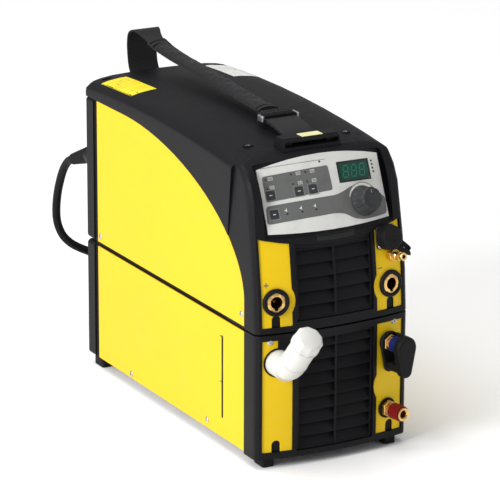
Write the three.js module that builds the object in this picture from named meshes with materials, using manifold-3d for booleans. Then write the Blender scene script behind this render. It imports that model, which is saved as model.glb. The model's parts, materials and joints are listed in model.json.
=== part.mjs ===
// TIG welding machine: an inverter power source bolted on top of a water cooler.
// Millimetres, +Z up, the front faces -Y. The machine stands on the floor with its
// footprint centred on the origin; its mains cord lies behind it.

import * as THREE from "three";
import * as BufferGeometryUtils from "three/addons/utils/BufferGeometryUtils.js";
import Module from "manifold-3d";

const wasm = await Module();
wasm.setup();

// ---------------------------------------------------------------- driving sizes

const HALF_WIDTH = 94; // half the casing's width
const FRONT_Y = -206; // foremost line of the bowed front, on the middle plane
const REAR_Y = 208; // rear face
const FRONT_BOW = 430; // plan radius of the front
const CORNER = 8; // plan radius of the front corners
const SHEET = 1.5; // steel sheet of panels and plates
const WALL = 3; // moulded wall
const FRONT_WALL = 5; // moulded wall behind the front plates
const GAP = 0.3; // clearance between pieces that touch

const FOOT_HEIGHT = 11;
const LOWER_TOP = 151; // top of the cooler
const UPPER_BOTTOM = 153; // underside of the power source
const CREST_Z = 348.5; // highest line of the roof
const CREST_Y = 75;
const ROOF_RADIUS = 1920; // the roof's arch, seen from the side

const PANEL_REAR_Y = 180; // rear edge of the side panels
const PANEL_FRONT_Y = -169.5; // front edge of the side panels
const PANEL_LOW_Z = 14;
const PANEL_SPLIT_Z = 149.5; // top edge of the lower side panels
const PANEL_UPPER_Z = 155.5; // bottom edge of the upper side panels
const ARC_START_Y = 110; // where the upper panel's edge starts to fall
const ARC_HEIGHT = 137;
const ARC_LOW_Z = 185;
const ARC_POWER = 1.85; // 2 is an ellipse

const PLATE_INNER_X = 52; // the yellow front plates
const PLATE_OUTER_X = 86.5;
const PLATE_SINK = 1.5; // how far the plates lie behind the front
const UPPER_PLATE_LOW_Z = 159;
const SMILE_Z = 243; // lowest point of the arc under the control panel
const SMILE_RADIUS = 325;
const LOWER_PLATE_LOW_Z = 18.5;
const LOWER_PLATE_HIGH_Z = 144.5;
const NOTCH_WIDTH = 10;
const NOTCH_HEIGHT = 13;
const SIDE_X = 70.5; // middle of the plates, where the fittings sit

const GRILLE_HALF = 47.4;
const GRILLE_SINK = 2.5;
const GRILLE_DEPTH = 11;
const BLADE_THICK = 1.8;
const LOUVRE_SLOPE = 0.5; // how far a louvre leans back for its height
const GRILLE_UPPER_LOW_Z = 163;
const GRILLE_LOWER_LOW_Z = 17;
const GRILLE_LOWER_HIGH_Z = 143;
const UPPER_PITCH = 14.8; // louvre spacing
const LOWER_PITCH = 14.1;

const PANEL_LEAN = THREE.MathUtils.degToRad(23.5); // the control panel leans back
const PANEL_Y = -178.6;
const PANEL_Z = 292.7;
const LABEL_HALF = 74;
const LABEL_TOP = 35.5; // at its corners
const LABEL_BOTTOM = -34;
const LABEL_TOP_RISE = 8;
const LABEL_BOTTOM_FALL = 5;
const LABEL_THICK = 1.5;
const POCKET_MARGIN = 4.5;
const BOARD_DEPTH = 9; // from the label's face to the circuit board

const BUTTON_SIZE = 9.4;
const BUTTON_PROUD = 0.6;
const KNOB_X = 44.5;
const KNOB_S = -14.5; // along the panel's slope
const KNOB_BASE_R = 16;
const KNOB_FRONT_R = 12.2;
const KNOB_HEIGHT = 18;
const KNOB_SHAFT = 6; // length behind the label's face
const SHAFT_R = 3;
const DISPLAY = { x: 39.7, s: 19.7, width: 37.5, height: 19 };

const SOCKET_Z = 186.5;
const SOCKET_RING_R = 15;
const SOCKET_HEX = 20.5; // across flats
const SOCKET_BORE_R = 6.6;
const SOCKET_LENGTH = 42;
const SOCKET_BULGE_R = 22.5; // the plates swell round the sockets
const REMOTE_X = 66.5;
const REMOTE_Z = 238;
const REMOTE_R = 11;
const REMOTE_LENGTH = 9;
const CAP_R = 14;
const CAP_DEPTH = 12;
const GAS_X = 73;
const GAS_Z = 217;
const GAS_R = 5;

const FILLER_X = -68.5;
const FILLER_Z = 119.5;
const FILLER_R = 14.5;
const FILLER_OUT = 24; // straight run before the bend
const FILLER_RUN = 57; // rising run after the bend
const FILLER_BEND = THREE.MathUtils.degToRad(48);
const FILLER_WALL = 2.5;
const FILLER_CAP_R = 17.5;
const FILLER_CAP_HEIGHT = 17;
const COLLAR_R = 16.2;
const BLUE_Z = 122;
const RED_Z = 46;
const COUPLING_X = 66.5;
const COUPLING_R = 6.5;
const COUPLING_LENGTH = 30;
const SLEEVE_R = 8.8;
const SLEEVE_LENGTH = 15;
const COVER_TOP_R = 13;
const COVER_LOW_R = 7.5;
const COVER_DROP = 26; // from the coupling's axis to the cover's low centre

const STRAP_WIDTH = 38;
const STRAP_THICK = 2;
const PAD_WIDTH = 26;
const PAD_THICK = 11;
const FOLD_WIDTH = 20; // the strap is folded to this width inside its pad
const ANCHOR_HALF = 36;
const ANCHOR_Y = -138.5;
const ANCHOR_DEPTH = 21;
const ANCHOR_HEIGHT = 11;
const SLOT_HALF = 21;

const TANK = { x: [-88.5, -32], y: [-160, 30], z: [20, 134] };
const LEVEL_SLOT = { y: -121, low: 36, high: 131, width: 4.4 };
const FAN_R = 52;
const FAN_DEPTH = 22;
const FAN_UPPER = { x: 12, y: 178, z: 238 };
const FAN_LOWER = { x: 8, y: 178, z: 81 };

const GLAND_X = -77;
const GLAND_Z = 244;
const GLAND_NUT_R = 12.5;
const GLAND_LENGTH = 25;
const RELIEF_LENGTH = 50;
const RELIEF_DROOP = THREE.MathUtils.degToRad(20);
const CORD_R = 5;

// ---------------------------------------------------------------- finishes

const finish = (color, roughness, metalness = 0) =>
  new THREE.MeshStandardMaterial({ color, roughness, metalness });

const FINISHES = {
  black: () => finish(0x1d1d20, 0.55),
  darkGrey: () => finish(0x47484c, 0.5),
  yellow: () => finish(0xf6dc1c, 0.4),
  label: () => finish(0xd9d7d0, 0.45),
  glass: () => finish(0x0d4a3c, 0.15),
  brass: () => finish(0xc59a4c, 0.3, 1),
  steel: () => finish(0xa7a9ac, 0.35, 1),
  aluminium: () => finish(0xc3c6c9, 0.4, 1),
  white: () => finish(0xece9e1, 0.45),
  blue: () => finish(0x16265e, 0.45),
  red: () => finish(0x8e1313, 0.45),
  rubber: () => finish(0x161617, 0.8),
  fabric: () => finish(0x17171a, 0.9),
  board: () => finish(0x1f5b38, 0.6),
};

// ---------------------------------------------------------------- solids

/** A closed three.js geometry as a solid, with its faces turned outwards. */
function toSolid(geometry) {
  const bare = geometry.clone();
  bare.deleteAttribute("normal");
  bare.deleteAttribute("uv");
  const merged = BufferGeometryUtils.mergeVertices(bare, 1e-4);
  const positions = new Float32Array(merged.attributes.position.array);
  const triangles = new Uint32Array(merged.index.array);
  if (signedVolume(positions, triangles) < 0) {
    flip(triangles);
  }
  return new wasm.Manifold(
    new wasm.Mesh({ numProp: 3, vertProperties: positions, triVerts: triangles }),
  );
}

function signedVolume(positions, triangles) {
  const [a, b, c] = [new THREE.Vector3(), new THREE.Vector3(), new THREE.Vector3()];
  let sum = 0;
  for (let i = 0; i < triangles.length; i += 3) {
    a.fromArray(positions, 3 * triangles[i]);
    b.fromArray(positions, 3 * triangles[i + 1]);
    c.fromArray(positions, 3 * triangles[i + 2]);
    sum += a.dot(b.cross(c)) / 6;
  }
  return sum;
}

function flip(triangles) {
  for (let i = 0; i < triangles.length; i += 3) {
    [triangles[i + 1], triangles[i + 2]] = [triangles[i + 2], triangles[i + 1]];
  }
}

function toGeometry(solid) {
  const { vertProperties, triVerts } = solid.getMesh();
  const geometry = new THREE.BufferGeometry();
  geometry.setAttribute("position", new THREE.BufferAttribute(new Float32Array(vertProperties), 3));
  geometry.setIndex(new THREE.BufferAttribute(new Uint32Array(triVerts), 1));
  geometry.computeVertexNormals();
  return geometry;
}

function joined(...solids) {
  return solids.reduce((whole, solid) => whole.add(solid));
}

function cut(solid, ...tools) {
  return tools.reduce((rest, tool) => rest.subtract(tool), solid);
}

/** A copy of a solid, placed by an object's matrix. */
function placed(solid, object) {
  object.updateWorldMatrix(true, false);
  return toSolid(toGeometry(solid).applyMatrix4(object.matrixWorld));
}

function block([x0, x1], [y0, y1], [z0, z1]) {
  const geometry = new THREE.BoxGeometry(x1 - x0, y1 - y0, z1 - z0);
  geometry.translate((x0 + x1) / 2, (y0 + y1) / 2, (z0 + z1) / 2);
  return toSolid(geometry);
}

const AXES = {
  x: new THREE.Matrix4().makeBasis(
    new THREE.Vector3(0, 1, 0), new THREE.Vector3(0, 0, 1), new THREE.Vector3(1, 0, 0)),
  y: new THREE.Matrix4().makeBasis(
    new THREE.Vector3(1, 0, 0), new THREE.Vector3(0, 0, 1), new THREE.Vector3(0, -1, 0)),
  z: new THREE.Matrix4(),
};

/** A flat outline pushed along an axis: (y, z) along x, (x, z) along y, (x, y) along z. */
function prism(shape, axis, from, to, curveSegments = 8) {
  const outline = Array.isArray(shape) ? new THREE.Shape(shape) : shape;
  const depth = to - from;
  const geometry = new THREE.ExtrudeGeometry(outline, { depth, bevelEnabled: false, curveSegments });
  geometry.translate(0, 0, axis === "y" ? -to : from);
  return toSolid(geometry.applyMatrix4(AXES[axis]));
}

/** A turned solid about the line through origin along direction; profile is (radius, height). */
function turned(profile, origin, direction, segments = 20) {
  const geometry = new THREE.LatheGeometry(profile.map(([r, h]) => new THREE.Vector2(r, h)), segments);
  const turn = new THREE.Quaternion().setFromUnitVectors(
    new THREE.Vector3(0, 1, 0), new THREE.Vector3(...direction).normalize());
  geometry.applyQuaternion(turn);
  geometry.translate(...origin);
  return toSolid(geometry);
}

/** A plain round bar along a direction. */
function rod(radius, length, origin, direction, segments = 20) {
  return turned([[0, 0], [radius, 0], [radius, length], [0, length]], origin, direction, segments);
}

/** A hexagonal bar along -Y from y = from to y = to. */
function hexBar(acrossFlats, from, to) {
  const corners = [];
  for (let i = 0; i < 6; i++) {
    const angle = (Math.PI / 3) * i + Math.PI / 6;
    const radius = acrossFlats / 2 / Math.cos(Math.PI / 6);
    corners.push(new THREE.Vector2(radius * Math.cos(angle), radius * Math.sin(angle)));
  }
  return prism(corners, "y", from, to);
}

/** A skin over matching flat rings; place turns a ring's point into space. */
function loft(rings, place) {
  const positions = [];
  const index = [];
  const count = rings[0].length;
  rings.forEach((ring, i) => ring.forEach((point) => positions.push(...place(i, point).toArray())));
  for (let i = 0; i + 1 < rings.length; i++) {
    for (let j = 0; j < count; j++) {
      const [a, b] = [i * count + j, i * count + ((j + 1) % count)];
      index.push(a, b, b + count, a, b + count, a + count);
    }
  }
  const last = (rings.length - 1) * count;
  for (const [a, b, c] of THREE.ShapeUtils.triangulateShape(rings[0], [])) {
    index.push(a, c, b);
  }
  for (const [a, b, c] of THREE.ShapeUtils.triangulateShape(rings[rings.length - 1], [])) {
    index.push(last + a, last + b, last + c);
  }
  const geometry = new THREE.BufferGeometry();
  geometry.setAttribute("position", new THREE.Float32BufferAttribute(positions, 3));
  geometry.setIndex(index);
  return toSolid(geometry);
}

/** A rounded rectangle about (x, y). */
function roundedRect(x, y, width, height, radius) {
  const shape = new THREE.Shape();
  const [w, h] = [width / 2 - radius, height / 2 - radius];
  shape.absarc(x + w, y + h, radius, 0, Math.PI / 2);
  shape.absarc(x - w, y + h, radius, Math.PI / 2, Math.PI);
  shape.absarc(x - w, y - h, radius, Math.PI, 1.5 * Math.PI);
  shape.absarc(x + w, y - h, radius, 1.5 * Math.PI, 2 * Math.PI);
  shape.closePath();
  return shape;
}

function circle(x, y, radius) {
  const shape = new THREE.Shape();
  shape.absarc(x, y, radius, 0, 2 * Math.PI);
  return shape;
}

/** Adds a named mesh to a group. */
function add(group, name, finishName, solid) {
  const mesh = new THREE.Mesh(toGeometry(solid), FINISHES[finishName]());
  mesh.name = name;
  group.add(mesh);
  return mesh;
}

// ---------------------------------------------------------------- casing surfaces

/** The power source's front line on the middle plane: height, and how far it leans back. */
const FRONT_PROFILE = [
  [UPPER_BOTTOM, 0], [200, 3.2], [239, 8.8], [295, 18], [312, 26], [324, 37], [345, 76],
];
const TAPER_START_Z = 225;
const TAPER_PER_MM = 0.035; // the front narrows towards the roof

function frontLean(z) {
  const upper = Math.max(1, FRONT_PROFILE.findIndex(([height]) => height >= z));
  const [[z0, lean0], [z1, lean1]] = [FRONT_PROFILE[upper - 1], FRONT_PROFILE[upper]];
  return THREE.MathUtils.mapLinear(z, z0, z1, lean0, lean1);
}

const CORNER_STEPS = 3;

/** The bowed front's plan outline, closed at backY. */
function frontRing(frontY, halfWidth, backY, corner) {
  const ring = [];
  const steps = 8;
  const flat = halfWidth - corner;
  const bow = (x) => frontY + (x * x) / (2 * FRONT_BOW);
  for (let i = 0; i <= steps; i++) {
    const x = THREE.MathUtils.lerp(-flat, flat, i / steps);
    ring.push(new THREE.Vector2(x, bow(x)));
  }
  for (let i = 1; i <= CORNER_STEPS; i++) {
    const angle = (Math.PI / 2) * (i / CORNER_STEPS);
    ring.push(new THREE.Vector2(
      flat + corner * Math.sin(angle), bow(flat) + corner * (1 - Math.cos(angle))));
  }
  ring.push(new THREE.Vector2(halfWidth, backY), new THREE.Vector2(-halfWidth, backY));
  for (let i = CORNER_STEPS; i >= 1; i--) {
    const angle = (Math.PI / 2) * (i / CORNER_STEPS);
    ring.push(new THREE.Vector2(
      -flat - corner * Math.sin(angle), bow(flat) + corner * (1 - Math.cos(angle))));
  }
  return ring;
}

/** The cooler's front body, its surface set back by inset. */
function lowerFront(inset, sideInset, backY, low, high) {
  const ring = frontRing(FRONT_Y + inset, HALF_WIDTH - sideInset, backY, CORNER);
  return prism(ring, "z", low, high);
}

/** The power source's leaning front body, its surface set back by inset. */
function upperFront(inset, sideInset, backY) {
  const rings = FRONT_PROFILE.map(([z, lean]) => {
    const taper = Math.max(0, z - TAPER_START_Z) * TAPER_PER_MM;
    return frontRing(FRONT_Y + lean + inset, HALF_WIDTH - sideInset - taper, backY, CORNER);
  });
  return loft(rings, (i, p) => new THREE.Vector3(p.x, p.y, FRONT_PROFILE[i][0]));
}

/** Half of the roof's cross-section, from its side to its middle: (x, drop from the crest). */
const ROOF_EDGE = [
  [94, 15], [93.2, 12], [88.2, 8], [84, 5.6], [75, 3.4], [60, 1.5], [32, 0.4], [0, 0],
];

function roofDrop(y) {
  return (y - CREST_Y) ** 2 / (2 * ROOF_RADIUS);
}

/** Everything under the arched roof between two y planes, its surface set in by inset. */
function underRoof(inset, fromY, toY, lowZ) {
  const stations = 8;
  const side = HALF_WIDTH - inset;
  const rings = [];
  const ys = [];
  for (let i = 0; i <= stations; i++) {
    const y = THREE.MathUtils.lerp(fromY, toY, i / stations);
    const crest = CREST_Z - inset - roofDrop(y);
    const right = ROOF_EDGE.map(([x, drop]) => new THREE.Vector2((x * side) / 94, crest - drop));
    const left = right.slice(0, -1).reverse().map((p) => new THREE.Vector2(-p.x, p.y));
    rings.push([new THREE.Vector2(side, lowZ), ...right, ...left, new THREE.Vector2(-side, lowZ)]);
    ys.push(y);
  }
  return loft(rings, (i, p) => new THREE.Vector3(p.x, ys[i], p.y));
}

/** The upper side panel's falling edge as (y, z) points, from the front up and back. */
function panelArc(grow) {
  const points = [];
  const steps = 20;
  const length = ARC_START_Y - PANEL_FRONT_Y + grow;
  const height = ARC_HEIGHT + grow;
  for (let i = 0; i <= steps; i++) {
    const angle = (Math.PI / 2) * (i / steps);
    const power = 2 / ARC_POWER;
    points.push(new THREE.Vector2(
      ARC_START_Y - length * Math.cos(angle) ** power,
      ARC_LOW_Z + height * Math.sin(angle) ** power));
  }
  return points;
}

/** The upper side panel's outline, grown by a clearance. */
function panelOutline(grow) {
  const [front, rear, low] = [PANEL_FRONT_Y - grow, PANEL_REAR_Y + grow, PANEL_UPPER_Z - grow];
  const top = ARC_LOW_Z + ARC_HEIGHT + grow;
  return [
    new THREE.Vector2(front, low), new THREE.Vector2(rear, low), new THREE.Vector2(rear, top),
    ...panelArc(grow).reverse(),
  ];
}

/** The seam between the roof and the front frame, as (y, z), and the space ahead of it. */
const SEAM = [[-132, 240], [-140.5, 327], [-127, 334.5], [-124, 360]];

function aheadOfSeam(shift) {
  const seam = SEAM.map(([y, z]) => new THREE.Vector2(y - shift, z));
  const front = FRONT_Y - 40;
  return prism([...seam, new THREE.Vector2(front, 360), new THREE.Vector2(front, 100),
    new THREE.Vector2(SEAM[0][0] - shift, 100)], "x", -HALF_WIDTH - 5, HALF_WIDTH + 5);
}

// ---------------------------------------------------------------- groups

const machine = new THREE.Group();

const controlPanel = new THREE.Group();
controlPanel.position.set(0, PANEL_Y, PANEL_Z);
controlPanel.rotation.x = -PANEL_LEAN;
machine.add(controlPanel);

/** A seat on the bowed control panel: x across, s up the slope, -Y outwards. */
function panelSeat(x, s) {
  const seat = new THREE.Group();
  seat.position.set(x, (x * x) / (2 * FRONT_BOW), s);
  seat.rotation.z = Math.asin(x / FRONT_BOW);
  controlPanel.add(seat);
  return seat;
}

/** A seat on a front plate's face: -Y outwards, tilted with the front. */
function plateSeat(x, z) {
  const seat = new THREE.Group();
  const upper = z > UPPER_BOTTOM;
  const lean = upper ? frontLean(z) : 0;
  const slope = upper ? (frontLean(z + 5) - frontLean(z - 5)) / 10 : 0;
  seat.position.set(x, FRONT_Y + lean + PLATE_SINK + (x * x) / (2 * FRONT_BOW), z);
  seat.rotation.set(-Math.atan(slope), 0, Math.asin(x / FRONT_BOW), "ZXY");
  machine.add(seat);
  return seat;
}

const seats = {
  plus: plateSeat(-SIDE_X, SOCKET_Z),
  minus: plateSeat(SIDE_X, SOCKET_Z),
  remote: plateSeat(REMOTE_X, REMOTE_Z),
  gas: plateSeat(GAS_X, GAS_Z),
  filler: plateSeat(FILLER_X, FILLER_Z),
  blue: plateSeat(COUPLING_X, BLUE_Z),
  red: plateSeat(COUPLING_X, RED_Z),
  knob: panelSeat(KNOB_X, KNOB_S),
};

const BUTTONS = {
  button_process: [-63.5, 6.5],
  button_trigger: [-31, 6.5],
  button_pulse: [-14.5, 6.5],
  button_menu: [-63.5, -14],
};
for (const [name, [x, s]] of Object.entries(BUTTONS)) {
  seats[name] = panelSeat(x, s);
}

/** A hole for a round fitting, square to its seat. */
function seatHole(seat, radius) {
  return placed(rod(radius, 40, [0, 20, 0], [0, -1, 0]), seat);
}

// ---------------------------------------------------------------- front plates

/** A front plate's outline in (x, z); side is -1 or 1. */
function plateOutline(side, low, high, grow, bulge) {
  const [inner, outer] = [PLATE_INNER_X - grow, PLATE_OUTER_X + grow];
  const flat = block([inner, outer], [-300, 0], [low - grow, high + grow]);
  const swell = bulge
    ? prism(circle(SIDE_X, bulge, SOCKET_BULGE_R + grow), "y", -300, 0, 12)
    : null;
  const keep = block([0, outer], [-300, 0], [low - grow, high + grow]);
  const whole = swell ? flat.add(swell.intersect(keep)) : flat;
  return side > 0 ? whole : whole.mirror([1, 0, 0]);
}

/** Below the smile-shaped arc that ends the upper plates and the grille. */
function underSmile(grow) {
  const shape = circle(0, SMILE_Z + SMILE_RADIUS, SMILE_RADIUS - grow);
  const above = prism(shape, "y", -320, 20, 64);
  return block([-120, 120], [-310, 0], [0, 300]).subtract(above);
}

function notch(side, low) {
  const shape = new THREE.Shape();
  const [x, r] = [side * SIDE_X, NOTCH_WIDTH / 2];
  const top = low + NOTCH_HEIGHT - r;
  shape.moveTo(x - r, low - 5);
  shape.lineTo(x + r, low - 5);
  shape.absarc(x, top, r, 0, Math.PI);
  shape.closePath();
  return prism(shape, "y", -300, 0);
}

function upperPlate(side) {
  const outline = plateOutline(side, UPPER_PLATE_LOW_Z, 262, 0, SOCKET_Z)
    .intersect(underSmile(0));
  const skin = cut(
    upperFront(PLATE_SINK, 4, -60), upperFront(PLATE_SINK + SHEET, -5, -40));
  return cut(skin.intersect(outline), notch(side, UPPER_PLATE_LOW_Z));
}

/** The keyhole in the lower left plate, filled by a boss of the frame. */
function keyhole(grow, fromY, toY) {
  const round = prism(circle(0, 0, COLLAR_R + grow), "y", fromY, toY, 12);
  const slot = block([-grow, 40], [fromY, toY], [-grow, 40]);
  return placed(joined(round, slot), seats.filler);
}

function lowerPlate(side) {
  const outline = plateOutline(
    side, LOWER_PLATE_LOW_Z, LOWER_PLATE_HIGH_Z, 0, side > 0 ? 74 : null);
  const skin = cut(
    lowerFront(PLATE_SINK, 4, -150, 10, 160), lowerFront(PLATE_SINK + SHEET, -5, -100, 5, 165));
  return cut(skin.intersect(outline), notch(side, LOWER_PLATE_LOW_Z));
}

function addFrontPlates() {
  const socketHole = SOCKET_RING_R - 2;
  add(machine, "front_plate_upper_left", "yellow",
    cut(upperPlate(-1), seatHole(seats.plus, socketHole)));
  add(machine, "front_plate_upper_right", "yellow",
    cut(upperPlate(1), seatHole(seats.minus, socketHole),
      seatHole(seats.remote, REMOTE_R + 0.5), seatHole(seats.gas, GAS_R + 0.5)));
  add(machine, "front_plate_lower_left", "yellow",
    cut(lowerPlate(-1), keyhole(GAP, -20, 20)));
  add(machine, "front_plate_lower_right", "yellow",
    cut(lowerPlate(1), seatHole(seats.blue, COUPLING_R + 0.5),
      seatHole(seats.red, COUPLING_R + 0.5)));
}

// ---------------------------------------------------------------- front frames

function addLowerFrontFrame() {
  const back = PANEL_FRONT_Y - GAP;
  const [low, high] = [FOOT_HEIGHT, LOWER_TOP];
  const shell = cut(
    lowerFront(0, 0, back, low, high),
    lowerFront(FRONT_WALL, WALL, back + 20, low + WALL, high - WALL));
  const recessFloor = lowerFront(PLATE_SINK + SHEET + GAP, -9, -100, 0, 200);
  const left = plateOutline(-1, LOWER_PLATE_LOW_Z, LOWER_PLATE_HIGH_Z, GAP, null)
    .subtract(keyhole(0, -20, 20));
  const right = plateOutline(1, LOWER_PLATE_LOW_Z, LOWER_PLATE_HIGH_Z, GAP, 74);
  const window = block([-GRILLE_HALF, GRILLE_HALF], [-300, -150],
    [GRILLE_LOWER_LOW_Z, GRILLE_LOWER_HIGH_Z]);
  add(machine, "front_frame_lower", "black", cut(
    shell, cut(left, recessFloor), cut(right, recessFloor), window,
    seatHole(seats.filler, FILLER_R + 1),
    seatHole(seats.blue, COUPLING_R + 0.5), seatHole(seats.red, COUPLING_R + 0.5)));
}

/** The control panel's outline, grown by a margin, in the panel's own plane. */
function panelShape(grow) {
  const shape = new THREE.Shape();
  const [half, top, low] = [LABEL_HALF + grow, LABEL_TOP + grow, LABEL_BOTTOM - grow];
  shape.moveTo(-half, low);
  shape.quadraticCurveTo(0, low - 2 * LABEL_BOTTOM_FALL, half, low);
  shape.lineTo(half, top);
  shape.quadraticCurveTo(0, top + 2 * LABEL_TOP_RISE, -half, top);
  shape.closePath();
  return shape;
}

/** A slab bent to the front's bow, between two depths behind the label's face. */
function bentSlab(fromDepth, toDepth, halfWidth, lowS, highS) {
  const ring = [];
  const steps = 8;
  const bow = (x) => (x * x) / (2 * FRONT_BOW);
  for (let i = 0; i <= steps; i++) {
    const x = THREE.MathUtils.lerp(-halfWidth, halfWidth, i / steps);
    ring.push(new THREE.Vector2(x, fromDepth + bow(x)));
  }
  for (let i = steps; i >= 0; i--) {
    const x = THREE.MathUtils.lerp(-halfWidth, halfWidth, i / steps);
    ring.push(new THREE.Vector2(x, toDepth + bow(x)));
  }
  return prism(ring, "z", lowS, highS);
}

function addUpperFrontFrame() {
  const outer = upperFront(0, 0, -60).intersect(underRoof(0, FRONT_Y - 5, -50, 100));
  const inner = upperFront(FRONT_WALL, WALL, -40)
    .intersect(underRoof(WALL, FRONT_Y - 10, -40, UPPER_BOTTOM + WALL));
  const deckDepth = LABEL_THICK + GAP;
  const deck = placed(bentSlab(deckDepth, deckDepth + WALL, 100, -56, 60), controlPanel)
    .intersect(outer);
  const pocket = placed(
    cut(prism(panelShape(POCKET_MARGIN), "y", -60, 30), bentSlab(deckDepth, 60, 110, -90, 90)),
    controlPanel);
  const recessFloor = upperFront(PLATE_SINK + SHEET + GAP, -9, -40);
  const smile = underSmile(GAP);
  const left = plateOutline(-1, UPPER_PLATE_LOW_Z, 262, GAP, SOCKET_Z).intersect(smile);
  const right = left.mirror([1, 0, 0]);
  const window = block([-GRILLE_HALF, GRILLE_HALF], [-300, -150], [GRILLE_UPPER_LOW_Z, 262])
    .intersect(underSmile(0));
  const keep = aheadOfSeam(GAP / 2)
    .subtract(prism(panelOutline(GAP), "x", -HALF_WIDTH - 5, HALF_WIDTH + 5));
  const holes = [
    seatHole(seats.plus, SOCKET_RING_R - 2), seatHole(seats.minus, SOCKET_RING_R - 2),
    seatHole(seats.remote, REMOTE_R + 0.5), seatHole(seats.gas, GAS_R + 0.5),
    placed(remoteFlange(GAP), seats.remote), anchorSeat(), ...panelHoles(1),
  ];
  const shell = joined(cut(outer, inner), deck).intersect(keep);
  add(machine, "front_frame_upper", "black", cut(
    shell, pocket, cut(left, recessFloor), cut(right, recessFloor), window,
    ...holes));
}

/** The openings behind the label: keys, knob shaft and display, grown by a clearance. */
function panelHoles(grow) {
  const keys = Object.keys(BUTTONS).map((name) => {
    const size = BUTTON_SIZE + 2 * GAP + grow;
    return placed(prism(roundedRect(0, 0, size, size, 1.5), "y", -20, 20, 2), seats[name]);
  });
  const shaft = placed(rod(SHAFT_R + 0.7 + grow, 40, [0, 20, 0], [0, -1, 0]), seats.knob);
  const screen = placed(prism(
    roundedRect(DISPLAY.x, DISPLAY.s, DISPLAY.width + 2 * GAP - grow,
      DISPLAY.height + 2 * GAP - grow, 1.5), "y", -20, 20, 2), controlPanel);
  return [...keys, shaft, screen];
}

// ---------------------------------------------------------------- front grilles

/** One louvre: a bowed blade that leans back as it rises and overlaps the one above. */
function louvre(frontY, low, pitch) {
  const blade = bentSlab(0, BLADE_THICK, GRILLE_HALF - 2, 0, pitch + 1.5);
  const lean = new THREE.Matrix4().set(
    1, 0, 0, 0,
    0, 1, LOUVRE_SLOPE, frontY,
    0, 0, 1, low,
    0, 0, 0, 1);
  return toSolid(toGeometry(blade).applyMatrix4(lean));
}

/** A louvred grille in a border, with a middle rib; leanAt gives the front's lean at a height. */
function grille(slab, leanAt, low, high, pitch) {
  const inner = GRILLE_HALF - GAP;
  const border = cut(
    block([-inner, inner], [-300, -150], [low + GAP, high]),
    block([3 - inner, inner - 3], [-310, -140], [low + 2.5, high - 2.5]));
  const rib = block([-1.2, 1.2], [-300, -150], [low + 1, high - 1]);
  const blades = [];
  for (let z = low + 1; z < high - 2; z += pitch) {
    blades.push(louvre(FRONT_Y + leanAt(z) + GRILLE_SINK, z, pitch));
  }
  const within = block([-inner, inner], [-300, -100], [low + GAP, high]);
  return joined(joined(border, rib).intersect(slab), joined(...blades).intersect(within));
}

function addGrilles() {
  const lowerSlab = cut(
    lowerFront(GRILLE_SINK, 4, -100, 5, 160),
    lowerFront(GRILLE_SINK + GRILLE_DEPTH, -5, -90, 0, 170));
  add(machine, "front_grille_lower", "black", grille(
    lowerSlab, () => 0, GRILLE_LOWER_LOW_Z, GRILLE_LOWER_HIGH_Z - GAP, LOWER_PITCH));
  const upperSlab = cut(
    upperFront(GRILLE_SINK, 4, -60), upperFront(GRILLE_SINK + GRILLE_DEPTH, -5, -40));
  const brow = cut(underSmile(-GAP), underSmile(-4))
    .intersect(block([GAP - GRILLE_HALF, GRILLE_HALF - GAP], [-300, 0], [200, 262]))
    .intersect(upperSlab);
  const louvres = grille(upperSlab, frontLean, GRILLE_UPPER_LOW_Z, 262, UPPER_PITCH)
    .intersect(underSmile(-GAP));
  add(machine, "front_grille_upper", "black", joined(louvres, brow));
}

// ---------------------------------------------------------------- side panels and roof

function addSidePanels() {
  const skin = [HALF_WIDTH - SHEET, HALF_WIDTH];
  const upper = prism(panelOutline(0), "x", ...skin);
  add(machine, "side_panel_upper_right", "yellow", upper);
  add(machine, "side_panel_upper_left", "yellow", upper.mirror([1, 0, 0]));
  const lower = block(skin, [PANEL_FRONT_Y, PANEL_REAR_Y], [PANEL_LOW_Z, PANEL_SPLIT_Z]);
  add(machine, "side_panel_lower_right", "yellow", lower);
  const slot = roundedRect(LEVEL_SLOT.y, (LEVEL_SLOT.low + LEVEL_SLOT.high) / 2,
    LEVEL_SLOT.width, LEVEL_SLOT.high - LEVEL_SLOT.low, LEVEL_SLOT.width / 2 - 0.1);
  add(machine, "side_panel_lower_left", "yellow",
    cut(lower.mirror([1, 0, 0]), prism(slot, "x", -HALF_WIDTH - 5, 0, 5)));
}

function addTopCover() {
  const lowZ = 236;
  const shell = cut(
    underRoof(0, -160, REAR_Y, lowZ),
    underRoof(WALL, -170, REAR_Y - WALL, lowZ - 10));
  const inside = prism(panelOutline(GAP), "x", -HALF_WIDTH - 5, HALF_WIDTH + 5);
  const rearFrame = block([-100, 100], [PANEL_REAR_Y - 1, REAR_Y + 5],
    [lowZ - 5, ARC_LOW_Z + ARC_HEIGHT + GAP]);
  const slots = [-1, 1].map((side) =>
    prism(roundedRect(side * 72, REAR_Y - 10, 12, 6, 2.9), "z", 300, 360, 5));
  add(machine, "top_cover", "black",
    cut(shell, inside, aheadOfSeam(-GAP / 2), rearFrame, ...slots, anchorSeat()));
}

// ---------------------------------------------------------------- strap anchor

const ANCHOR_BASE_Z = CREST_Z - roofDrop(ANCHOR_Y) - 2.5;

/** The recess in the roof that the strap's anchor stands in. */
function anchorSeat() {
  return block([-ANCHOR_HALF - GAP, ANCHOR_HALF + GAP],
    [ANCHOR_Y - ANCHOR_DEPTH / 2 - GAP, ANCHOR_Y + ANCHOR_DEPTH / 2 + GAP],
    [ANCHOR_BASE_Z, 400]);
}

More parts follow.
